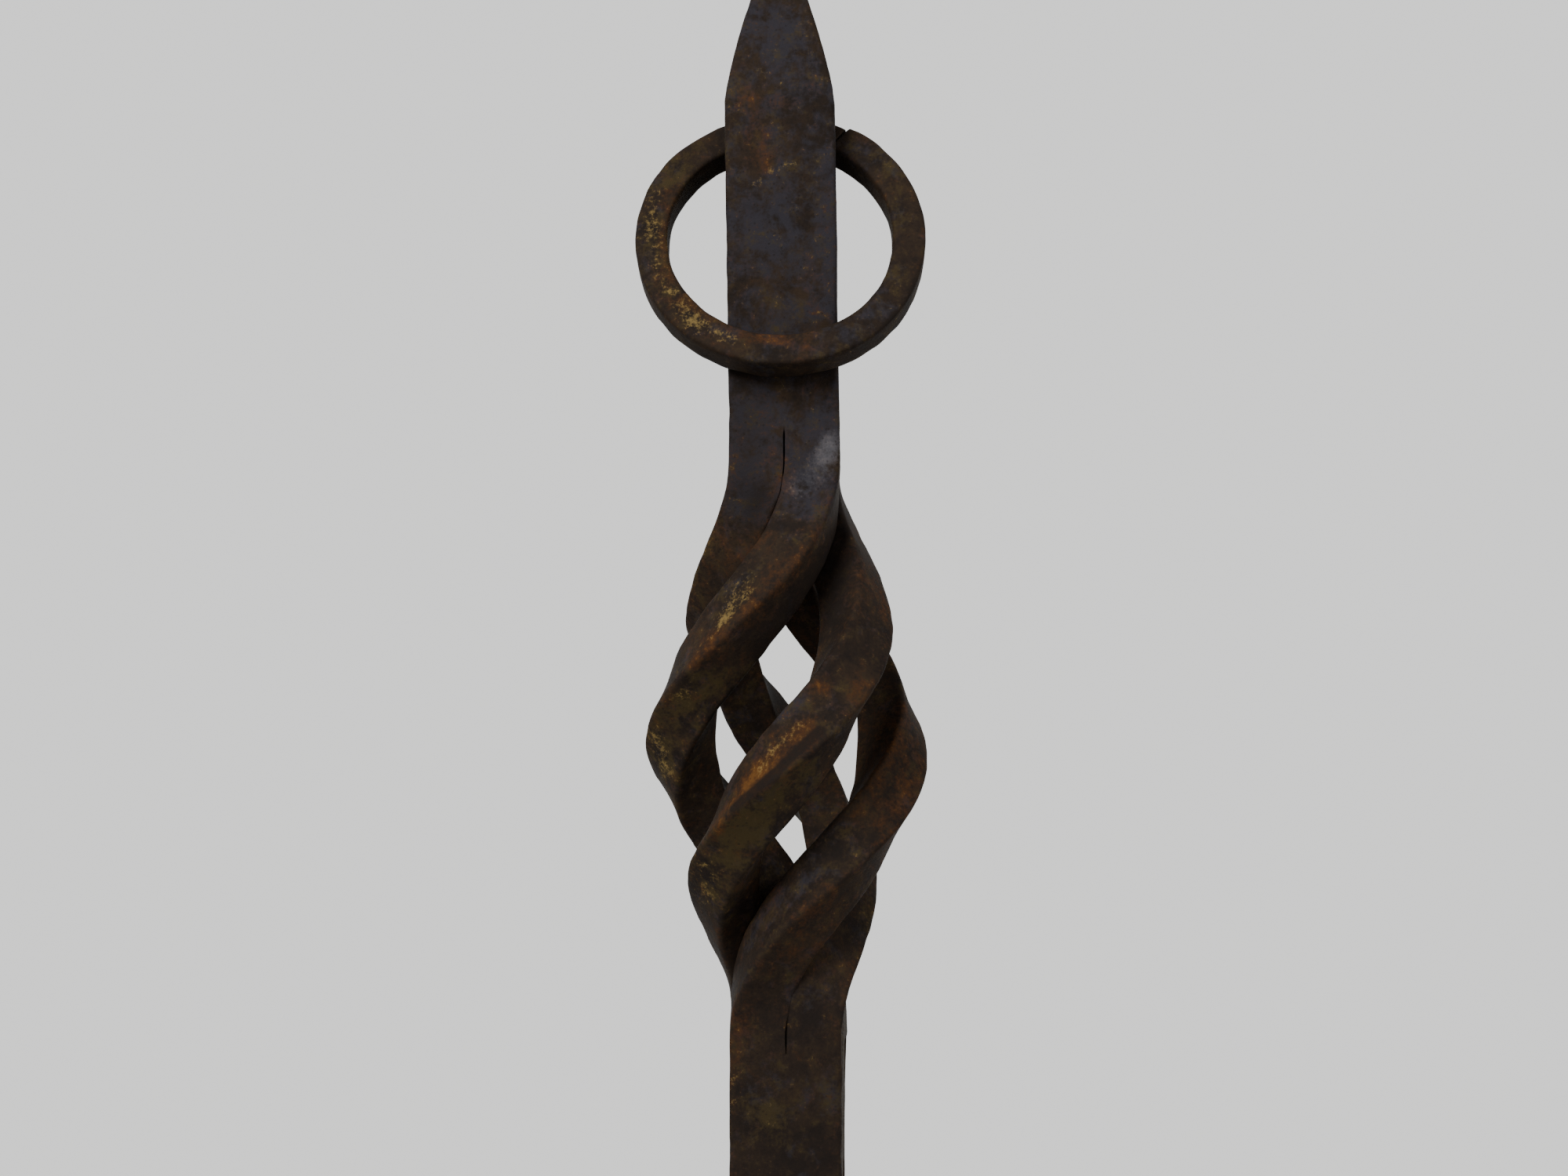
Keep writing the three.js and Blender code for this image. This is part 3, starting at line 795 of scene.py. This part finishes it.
class ANDIRON_OT_head(bpy.types.Operator):
    """Forge the top of the standard: the bar, its spear point and the hole for the ring"""

    bl_idname = "andiron.head"
    bl_label = "Standard head"

    def execute(self, context):
        """Sweeps the bar, its point and the core below it, and cuts the hole."""
        size = context.scene.andiron_standard
        iron = context.scene.andiron_iron
        shoulder = PIVOT[2] + size.shoulder
        rim = size.tip * TIP_RIM
        tip = HEAD_HIGH[2] - rim
        plain = np.linspace(SLIT_TOP, shoulder, HEAD_STATIONS)
        heights = np.concatenate([plain, np.linspace(shoulder, tip, POINT_STATIONS)[1:]])
        part = np.clip((heights - shoulder) / (tip + rim - shoulder), 0, 1)
        half = (size.bar + (size.tip - size.bar) * part**size.roundness) / 2
        shift = -size.lean * (heights - SLIT_TOP) / (tip - SLIT_TOP)
        turns = np.full_like(heights, size.head_turn)
        rings, edge = upright(context, heights, turns, half, shift)
        rings = work_over(rings, edge, iron)
        bar = close_ends(rings, edge, (0.0, rim))
        core_end = SLIT_TOP - CORE_ABOVE * context.scene.andiron_basket.straight_top
        core = slit_core(context, SLIT_TOP + CORE_SINK, core_end, size.head_turn)
        head = forge("standard_head_forged", (bar, core), STANDARD_STAINS)
        self.cut_hole(head, size)
        material = old_iron("head_iron", iron)
        dress(head, material, "standard_head")
        return {"FINISHED"}

    def cut_hole(self, head, size):
        """Cuts the cross hole, with its rims worn round."""
        reach = np.linspace(-CUTTER_REACH, CUTTER_REACH, 65) * MM
        face = size.bar / 2
        flare = FLARE * smooth(np.abs(reach), face - FLARE_IN, face + FLARE_OUT) ** 2
        radius = size.hole / 2 + flare
        along = unit(RING_ACROSS)
        rim = circle(64, np.cross(UP, along), along)
        rings = PIVOT + reach[:, None, None] * along + radius[:, None, None] * rim
        cutter = forge("hole_cutter", ((rings, np.zeros(rings.shape[:2])),), {})
        cut = head.modifiers.new("ring_hole", "BOOLEAN")
        cut.operation = "DIFFERENCE"
        cut.solver = "EXACT"
        cut.object = cutter
        graph = bpy.context.evaluated_depsgraph_get()
        head.data = bpy.data.meshes.new_from_object(head.evaluated_get(graph))
        head.data.set_sharp_from_angle(angle=SHARP)
        head.modifiers.clear()
        bpy.data.objects.remove(cutter)


class ANDIRON_OT_foot(bpy.types.Operator):
    """Forge the lower bar of the standard and the peened end of its tenon"""

    bl_idname = "andiron.foot"
    bl_label = "Standard foot"

    def execute(self, context):
        """Sweeps the lower bar, the core above it and the head of its tenon."""
        size = context.scene.andiron_standard
        iron = context.scene.andiron_iron
        heights = np.linspace(LEG_HIGH[2] - SINK, SLIT_BOTTOM, FOOT_STATIONS)
        fade_end = SLIT_BOTTOM - size.neck_fade
        turns = size.neck_turn * smooth(heights, fade_end - size.neck_fade, fade_end)
        half = np.full_like(heights, size.bar / 2)
        rings, edge = upright(context, heights, turns, half, 0 * heights)
        rings = work_over(rings, edge, iron)
        bar = close_ends(rings, edge)
        core_end = SLIT_BOTTOM + CORE_BELOW * context.scene.andiron_basket.straight_bottom
        core = slit_core(context, SLIT_BOTTOM - CORE_SINK, core_end, size.neck_turn)
        under = LEG_HIGH[2] - context.scene.andiron_leg.crown
        head = peened_end(size, AXIS + under * UP, -UP, RIGHT)
        foot = forge("standard_foot_forged", (bar, core, head), STANDARD_STAINS)
        material = old_iron("foot_iron", iron)
        dress(foot, material, "standard_foot")
        return {"FINISHED"}


# ---- The basket ----

ROD_STATIONS = 236
SLIT_OPENS = 2.5 * MM  # length over which a slit opens from its end
SLIT_CHANGES = (0.3, 0.7)  # where down the basket the upper slits' width gives way to the lower
DRAWN_OVER = 0.045  # share of the basket over which a rod is drawn to its own width
ROLLED_OVER = 0.16  # the same for its roll
LAG_LATE = 0.03  # how far down the basket the lag is shifted, as a share of its length
CUT_CORNER = 0.05 * MM  # radius of a rod's hidden corners where the slits are closed


def turned(part, size):
    """Share of the whole turn that a rod has made at some share of the twist's length."""
    lead = size.run_in
    run = np.where(part < lead, part**2 / (2 * lead), part - lead / 2)
    run = np.where(part > 1 - lead, 1 - lead - (1 - part) ** 2 / (2 * lead), run)
    even = run / (1 - lead)
    wave = size.wave * np.sin(2 * math.pi * even) / (2 * math.pi)
    skew = size.skew * (1 - np.cos(2 * math.pi * even)) / (2 * math.pi)
    return even + wave + skew


class ANDIRON_OT_basket(bpy.types.Operator):
    """Forge the four twisted rods of the basket"""

    bl_idname = "andiron.basket"
    bl_label = "Basket rods"

    def execute(self, context):
        """Sweeps each rod along its own winding path."""
        iron = context.scene.andiron_iron
        material = old_iron("rod_iron", iron)
        for where, placed in RODS.items():
            rings, edge = self.rod(context, placed)
            rings = work_over(rings, edge, iron)
            name = f"basket_rod_{where}"
            rod = forge(f"{name}_forged", (close_ends(rings, edge),), STANDARD_STAINS)
            dress(rod, material, name)
        return {"FINISHED"}

    def rod(self, context, placed):
        """Rings and edge numbers of the rod that is placed so."""
        bar = context.scene.andiron_standard
        size = context.scene.andiron_basket
        top = SLIT_TOP - size.straight_top
        bottom = SLIT_BOTTOM + size.straight_bottom
        heights = np.linspace(SLIT_BOTTOM, SLIT_TOP, ROD_STATIONS)
        part = (top - heights) / (top - bottom)
        inside = np.clip(part, 0, 1)
        quarter = bar.bar / 2
        power = math.log(0.5) / math.log(size.widest)
        belly = np.sin(math.pi * inside**power) ** size.belly
        from_end = np.minimum(inside, 1 - inside)
        apart = smooth(np.minimum(SLIT_TOP - heights, heights - SLIT_BOTTOM), 0, SLIT_OPENS)
        slit = size.slit + (size.slit_low - size.slit) * smooth(part, *SLIT_CHANGES)
        drawn = smooth(from_end, 0, DRAWN_OVER)
        width = quarter - slit / 2 * apart
        width += (size.rod - width) * drawn
        bundle = (quarter - width / 2) * math.sqrt(2)
        radius = bundle + (size.radius + placed.out * MM - bundle) * belly
        swing = size.turn + bar.head_turn - bar.neck_turn
        length = top + size.twist_top - bottom + size.twist_bottom
        twist = turned(np.clip((top + size.twist_top - heights) / length, 0, 1), size)
        middle = smooth(belly, 0, 0.5)
        angle = math.radians(placed.start) + bar.head_turn - swing * twist
        angle += math.radians(placed.behind) * middle
        outward = np.stack([np.sin(angle), -np.cos(angle), 0 * angle], axis=-1)
        sway = size.sway * np.sin(math.pi * inside) + size.snake * np.sin(2 * math.pi * inside)
        centres = AXIS + radius[:, None] * outward + heights[:, None] * UP + sway[:, None] * RIGHT
        along = unit(np.gradient(centres, axis=0))
        out = unit(outward - (outward * along).sum(axis=1, keepdims=True) * along)
        side = np.cross(along, out)
        lag = size.lag * np.sin(2 * math.pi * (inside - LAG_LATE))
        roll = math.pi / 4 + (size.roll - lag) * smooth(from_end, 0, ROLLED_OVER)
        cosine = np.cos(roll)[:, None]
        sine = np.sin(roll)[:, None]
        across = out * cosine - side * sine
        over = out * sine + side * cosine
        hidden = CUT_CORNER + slit / 2 * apart
        hidden += (size.ridge - hidden) * drawn
        shown = bar.corner + (size.ridge - bar.corner) * drawn
        rounding = np.stack([shown, hidden, hidden, hidden], axis=-1)
        half = width / 2
        return bar_skin(centres, across, over, half, half, rounding, ROD_SIDE_POINTS)


# ---- The ring ----

RING_STATIONS = 214
RING_SIDE_POINTS = 8
RING_RIM = 0.25 * MM
RING_WORK = 0.7  # depth of the ring's hammer marks and waves beside those of the bars
RING_FACE = 3.8 * MM  # from the middle of the ring's bar to its front face
SWELL_SPREAD = math.radians(26)  # how far the swell reaches to each side
SAG_FROM = math.radians(100)  # how far from the seam the left end starts to sag
SAG_FULL = math.radians(20)  # how far from the seam it has sagged in full
SLANT_OVER = 0.45  # angle over which the slant of a cut end dies out


class ANDIRON_OT_ring(bpy.types.Operator):
    """Forge the drop ring, bent from square bar, with its open seam"""

    bl_idname = "andiron.ring"
    bl_label = "Drop ring"

    def execute(self, context):
        """Sweeps the bar round the ring."""
        size = context.scene.andiron_ring
        iron = context.scene.andiron_iron
        across = unit(RING_ACROSS)
        hang = (RING_LOW + RING_HIGH) / 2 - PIVOT
        down = unit(hang - (hang @ across) * across)
        centre = PIVOT + (hang @ across) * across + (hang @ down + size.drop) * down
        forward = np.cross(down, across)
        half_gap = size.seam / 2 / size.radius
        first = size.seam_at + half_gap
        last = size.seam_at + 2 * math.pi - half_gap
        angles = np.linspace(first, last, RING_STATIONS)
        out = np.sin(angles)[:, None] * across - np.cos(angles)[:, None] * down
        swell = size.swell * np.exp(-(((angles - size.swell_at) / SWELL_SPREAD) ** 2))
        sag = size.sag * smooth(angles, last - SAG_FROM, last - SAG_FULL)
        centres = centre + (size.radius + swell - sag)[:, None] * out
        half = np.full_like(angles, size.stock / 2)
        rounding = np.full((len(angles), 4), size.corner)
        outlines, near = bar_outline(half, half, rounding, RING_SIDE_POINTS)
        rings = sweep(centres, out, np.tile(forward, (len(angles), 1)), outlines)
        rings += self.slant(size, angles, outlines, np.cross(out, forward))
        edge = np.tile(near, (len(angles), 1))
        rings = work_over(rings, edge, iron, RING_WORK, RING_WORK)
        closed = close_ends(rings, edge, (RING_RIM, RING_RIM))
        stains = self.stains(centre, across, down, forward)
        ring = forge("drop_ring_forged", (closed,), stains)
        material = old_iron("ring_iron", iron)
        dress(ring, material, "drop_ring")
        return {"FINISHED"}

    def slant(self, size, angles, outlines, along):
        """Shifts along the bar that make both cut ends lean over its width."""
        from_seam = np.minimum(angles - angles[0], angles[-1] - angles)
        near = 1 - smooth(from_seam, 0, SLANT_OVER)
        lean = size.seam_slant * outlines[..., 0] / size.stock
        return near[:, None, None] * lean[..., None] * along[:, None]

    def stains(self, centre, across, down, forward):
        """Rust, dust and haze on the left of the front, bloom and haze on the right, by the clock."""

        def place(clock, reach):
            """A place on the front face, this many millimetres from the ring's middle."""
            angle = clock / 12 * 2 * math.pi
            out = math.sin(angle) * across - math.cos(angle) * down
            return centre + reach * MM * out + RING_FACE * forward

        def patch(start, end, radius, strength, reach=30):
            """A long stain between two times on the clock."""
            return Stain(place(start, reach), place(end, reach), radius * MM, strength)

        return {
            "rust": (
                patch(10.0, 8.2, 3.2, 0.75),
                patch(7.8, 5.6, 3.0, 0.85),
                patch(6.5, 6.0, 1.6, 0.8, 28.5),
            ),
            "ochre": (
                patch(9.6, 9.1, 2.4, 0.8, 30.5),
                patch(9.0, 8.6, 2.4, 0.7, 29),
                patch(8.4, 8.0, 2.2, 0.6, 29.5),
                patch(7.9, 7.4, 2.0, 0.65, 28.8),
                patch(7.7, 7.2, 1.6, 0.7, 31),
                patch(7.3, 6.7, 2.0, 0.75, 29.8),
            ),
            "slate_and_sheen": (patch(5.6, 4.4, 4.0, 0.5),),
            "olive": (
                patch(9.2, 7.6, 4.0, 0.7),
                patch(10.6, 10.0, 4.0, 0.6),
                patch(2.0, 3.6, 4.0, 0.4),
            ),
        }


# ---- The billet bar and the legs ----

RUN_STATIONS = 300
BEND_STATIONS = 30
REAR_LEG_STATIONS = 90
BILLET_SIDE_POINTS = 17
FOOT_RIM = 0.8 * MM
BESIDE_BEND = 0.7  # share of the bulge where the straight parts meet the bend

BLOW_SPACING = 8.5 * MM
BLOW_DEPTH = 0.5 * MM
BLOW_SLANT = 0.55  # how far a blow slants along the bar, as a share of the bar's width
BLOW_WANDER = 2.5 * MM
WANDER = Relief(21 * MM, 11.0)  # how the blows stray along the bar
FORCE = Relief(30 * MM, 2.0)  # how their depth varies

# Places of the billet bar's stains, in millimetres from the standard's axis and the floor.
BAR_TOP = 134
BAR_MIDDLE = 121
REAR_LEG = 419

FLAT_STATIONS = 12
ARCH_STATIONS = 90
TOE_STATIONS = 20
LEG_SIDE_POINTS = 14
TOE_RIM = 1.5 * MM


class ANDIRON_OT_billet(bpy.types.Operator):
    """Forge the billet bar, bent down at the back into the rear leg"""

    bl_idname = "andiron.billet"
    bl_label = "Billet bar"

    def execute(self, context):
        """Sweeps the bar along its run, its bend and its leg."""
        size = context.scene.andiron_billet
        bar = context.scene.andiron_standard
        iron = context.scene.andiron_iron
        rings, edge = self.path(size, AXIS[1] + bar.bar / 2 - SINK)
        rings = self.hammer_top(work_over_legs(rings, edge, iron), size)
        tenon = peened_end(bar, AXIS + size.middle * UP - bar.bar / 2 * BACK, -BACK, RIGHT)
        shells = (close_ends(rings, edge, (0.0, FOOT_RIM)), tenon)
        made = forge("billet_bar_forged", shells, self.stains())
        dress(made, old_iron("billet_iron", iron), "billet_bar")
        return {"FINISHED"}

    def path(self, size, start):
        """Rings and edge numbers along the run, the bend and the leg."""
        leg_front = BILLET_HIGH[1] - size.foot_spread - size.bar
        under = size.middle - size.bar / 2
        bend_y = leg_front - size.bend
        bend_z = under - size.bend
        level = np.linspace(start, bend_y, RUN_STATIONS)[:-1]
        turn = np.linspace(0, math.pi / 2, BEND_STATIONS)
        drop = np.linspace(bend_z, FOOT_RIM, REAR_LEG_STATIONS)[1:]
        no_level = 0 * level
        no_turn = 0 * turn
        no_drop = 0 * drop
        bend_back = bend_y + size.bend * np.sin(turn)
        bend_down = bend_z + size.bend * np.cos(turn)
        bend = np.stack([no_turn, bend_back, bend_down], -1)
        run = np.stack([no_level, level, no_level + under], -1)
        leg = np.stack([no_drop, no_drop + leg_front, drop], -1)
        inner = np.concatenate([run, bend, leg])
        angle = np.concatenate([no_level, turn, no_drop + math.pi / 2])
        outward = np.stack([0 * angle, np.sin(angle), np.cos(angle)], -1)
        run_up = smooth(level, bend_y - size.bar, bend_y)
        run_out = smooth(drop, bend_z - size.bar, bend_z)
        hump = np.concatenate([run_up, np.cos(turn), no_drop])
        bulge = np.cos(turn - math.pi / 4)
        swell = np.concatenate([BESIDE_BEND * run_up, bulge, BESIDE_BEND * run_out])
        spread = np.concatenate([no_level, no_turn, 1 - smooth(drop, 0.0, size.foot_height)])
        upset = size.foot_spread * spread
        half_over = (size.bar + size.hump * hump) / 2 + upset
        half_across = size.bar / 2 + upset + 0.5 * size.bulge * swell
        centres = inner + outward * (half_over - upset)[:, None]
        rounding = np.full((len(angle), 4), size.corner)
        outlines, near = bar_outline(half_across, half_over, rounding, BILLET_SIDE_POINTS)
        inward = -outlines[..., 1] / half_over[:, None]
        outlines[..., 0] += np.sign(outlines[..., 0]) * 0.5 * size.bulge * (swell[:, None] * inward)
        rings = sweep(centres, np.tile(-RIGHT, (len(angle), 1)), outward, outlines)
        return rings, np.tile(near, (len(angle), 1))

    def hammer_top(self, rings, size):
        """Oblique cross-peen marks along the top of the bar."""
        x, y, z = np.moveaxis(rings, -1, 0)
        on_top = smooth(z, size.middle + 0.4 * size.bar, size.middle + 0.5 * size.bar)
        wander = BLOW_WANDER * lumps(rings, *WANDER)
        blows = np.abs(np.sin((y + BLOW_SLANT * x + wander) / BLOW_SPACING * math.pi))
        depth = BLOW_DEPTH * (1 - blows) ** 1.5 * (0.65 + 0.5 * lumps(rings, *FORCE))
        return rings - (on_top * depth)[..., None] * UP

    def stains(self):
        """Pale rubbed strokes on top, where the logs lie, haze all along, rust and dust behind."""
        strokes = []
        for step in range(9):
            y = 40 + 38 * step
            lean = 5 if step % 2 else 8
            strokes.append(streak((-9, y, BAR_TOP), (6, y - lean, BAR_TOP), 3.4, 1.35))
        return {
            "rust": (streak((6, REAR_LEG, 110), (8, REAR_LEG, 40), 6.0, 0.6),),
            "ochre": (
                spot(0, 400, BAR_TOP, 12.0, 0.8),
                streak((-5, REAR_LEG, 90), (-5, REAR_LEG, 30), 5.0, 0.35),
            ),
            "rubbed_and_sheen": strokes,
            "olive": (streak((0, 20, BAR_MIDDLE), (0, 420, BAR_MIDDLE), 40.0, 0.8),),
        }


class ANDIRON_OT_leg(bpy.types.Operator):
    """Forge the arched front leg with its two toes"""

    bl_idname = "andiron.leg"
    bl_label = "Front leg"

    def execute(self, context):
        """Sweeps the arch from toe to toe."""
        size = context.scene.andiron_leg
        iron = context.scene.andiron_iron
        half = self.stations(size)
        mirrored = half[:0:-1] * np.array([-1, 1, -1, 1, 1])
        x, z, angle, thick, wide = np.concatenate([mirrored, half]).T
        up = np.stack([np.sin(angle), 0 * angle, np.cos(angle)], -1)
        centres = AXIS + np.stack([x, 0 * x, z], -1)
        back = np.tile(BACK, (len(x), 1))
        rounding = np.repeat(np.minimum(size.corner, thick * 0.3)[:, None], 4, axis=1)
        rings, edge = bar_skin(centres, back, up, wide / 2, thick / 2, rounding, LEG_SIDE_POINTS)
        rings = work_over_legs(rings, edge, iron)
        closed = close_ends(rings, edge, (TOE_RIM, TOE_RIM))
        leg = forge("front_leg_forged", (closed,), {})
        dress(leg, old_iron("leg_iron", iron), "front_leg")
        return {"FINISHED"}

    def stations(self, size):
        """Half of the arch: x, height, lean, thickness and width at each station."""
        middle = LEG_HIGH[2] - size.crown / 2
        toe_middle = size.toe_thickness / 2
        springing = toe_middle + size.toe_bend
        reach = size.span - size.flat / 2
        rise = middle - springing
        power = 2 / size.fullness
        flat = np.linspace(0, size.flat / 2, FLAT_STATIONS)[:-1]
        found = [(x, middle, 0.0, size.crown, size.stock) for x in flat]
        for turn in np.linspace(0, math.pi / 2, ARCH_STATIONS):
            x = math.sin(turn) ** power
            z = max(math.cos(turn), 0.0) ** power
            lean = math.atan2(x ** (size.fullness - 1) / reach, z ** (size.fullness - 1) / rise)
            thick = size.crown + (size.ankle - size.crown) * (turn / (math.pi / 2)) ** 2
            found.append((size.flat / 2 + reach * x, springing + rise * z, lean, thick, size.stock))
        for part in np.linspace(0, 1, TOE_STATIONS)[1:]:
            lean = (1 - part) * math.pi / 2
            x = size.span + size.toe_bend * (1 - math.sin(lean))
            z = springing - size.toe_bend * math.cos(lean)
            thick = size.ankle + (size.toe_thickness - size.ankle) * part
            found.append((x, z, lean, thick, size.stock + (size.toe_width - size.stock) * part))
        start = size.span + size.toe_bend
        end = size.span + size.toe_bend + size.toe_length
        for x in np.linspace(start, end - TOE_RIM, TOE_STATIONS)[1:]:
            found.append((x, toe_middle, 0.0, size.toe_thickness, size.toe_width))
        return np.array(found)


# ---- The stage ----

KEY_PLACE = (-0.78, -1.35, 1.15)
KEY_WIDTH = 0.8
FILL_PLACE = (1.5, -0.7, 0.6)
FILL_WIDTH = 1.0
LIT_HEIGHT = 0.32  # height that both lights are turned to

# How far back a direction points, from -1 to 1, where the surround starts to grow brighter and
# where it is brightest.
BRIGHTER = 0.40
BRIGHTEST = 0.80


class ANDIRON_OT_stage(bpy.types.Operator):
    """Set out the pale floor, the soft lights and the camera"""

    bl_idname = "andiron.stage"
    bl_label = "Stage"

    def execute(self, context):
        """Makes the floor, the surround, the lights and the camera."""
        stage = context.scene.andiron_stage
        self.floor(stage)
        self.surround(context, stage)
        self.light("key_light", KEY_PLACE, stage.key, KEY_WIDTH)
        self.light("fill_light", FILL_PLACE, stage.fill, FILL_WIDTH)
        self.camera(context, stage)
        return {"FINISHED"}

    def floor(self, stage):
        """A round pale floor that fades out at its edge."""
        rim = circle(96, RIGHT, UP) * stage.faded
        mesh = bpy.data.meshes.new("floor")
        mesh.from_pydata(rim.tolist(), [], [tuple(range(len(rim)))])
        material = bpy.data.materials.new("pale_floor")
        material.use_nodes = True
        net = Network(material.node_tree)
        shader = material.node_tree.nodes["Principled BSDF"]
        shader.inputs["Base Color"].default_value = (*stage.floor, 1.0)
        shader.inputs["Roughness"].default_value = 0.9
        reach = net.tree.nodes.new("ShaderNodeVectorMath")
        reach.operation = "LENGTH"
        net.feed(reach.inputs[0], net.place)
        gone = net.step(reach.outputs["Value"], stage.clear, stage.faded)
        net.feed(shader.inputs["Alpha"], net.sum(1.0, (gone, -1.0)))
        mesh.materials.append(material)
        floor = bpy.data.objects.new("floor", mesh)
        floor.location = (0.0, -stage.forward, 0.0)
        bpy.context.scene.collection.objects.link(floor)

    def surround(self, context, stage):
        """A pale surround, brightest behind the object."""
        world = bpy.data.worlds.new("surround")
        world.use_nodes = True
        net = Network(world.node_tree, "Generated")
        apart = net.tree.nodes.new("ShaderNodeSeparateXYZ")
        net.feed(apart.inputs[0], net.place)
        behind = net.step(apart.outputs["Y"], BRIGHTER, BRIGHTEST)
        colours = net.blend(behind, tuple(stage.before), tuple(stage.behind))
        net.feed(world.node_tree.nodes["Background"].inputs["Color"], colours)
        context.scene.world = world

    def light(self, name, place, power, size):
        """A soft square light that faces the middle of the object."""
        lamp = bpy.data.lights.new(name, "AREA")
        lamp.energy = power
        lamp.size = size
        made = bpy.data.objects.new(name, lamp)
        made.location = place
        aim = Vector((0.0, AXIS[1], LIT_HEIGHT)) - Vector(place)
        made.rotation_euler = aim.to_track_quat("-Z", "Y").to_euler()
        bpy.context.scene.collection.objects.link(made)

    def camera(self, context, stage):
        """The camera at the photograph's place and angle."""
        lens = bpy.data.cameras.new("camera")
        lens.lens = stage.lens
        lens.sensor_width = 36.0
        lens.clip_start = 0.01
        made = bpy.data.objects.new("camera", lens)
        made.location = (stage.camera_x, stage.camera_y, stage.camera_z)
        made.rotation_euler = Euler((math.pi / 2 + stage.camera_tilt, 0.0, stage.camera_turn))
        context.scene.collection.objects.link(made)
        context.scene.camera = made


class ANDIRON_PT_panel(bpy.types.Panel):
    """Lists the steps that build the andiron"""

    bl_idname = "ANDIRON_PT_panel"
    bl_label = "Forged andiron"
    bl_space_type = "VIEW_3D"
    bl_region_type = "UI"
    bl_category = "Andiron"

    def draw(self, context):
        """Draws a button for each step."""
        for step in STEPS:
            self.layout.operator(step.bl_idname)


STEPS = (
    ANDIRON_OT_stage,
    ANDIRON_OT_head,
    ANDIRON_OT_basket,
    ANDIRON_OT_foot,
    ANDIRON_OT_ring,
    ANDIRON_OT_billet,
    ANDIRON_OT_leg,
)
SETTINGS = {
    "andiron_standard": StandardSettings,
    "andiron_basket": BasketSettings,
    "andiron_ring": RingSettings,
    "andiron_billet": BilletSettings,
    "andiron_leg": LegSettings,
    "andiron_iron": IronSettings,
    "andiron_stage": StageSettings,
}


def register():
    """Adds the settings, the steps and the panel to Blender."""
    for name, group in SETTINGS.items():
        bpy.utils.register_class(group)
        setattr(bpy.types.Scene, name, PointerProperty(type=group))
    for step in (*STEPS, ANDIRON_PT_panel):
        bpy.utils.register_class(step)


def unregister():
    """Takes them out again."""
    for step in reversed((*STEPS, ANDIRON_PT_panel)):
        bpy.utils.unregister_class(step)
    for name, group in SETTINGS.items():
        delattr(bpy.types.Scene, name)
        bpy.utils.unregister_class(group)


def main():
    """Builds the whole andiron."""
    register()
    for step in STEPS:
        group, name = step.bl_idname.split(".")
        getattr(getattr(bpy.ops, group), name)()


if __name__ == "__main__":
    main()
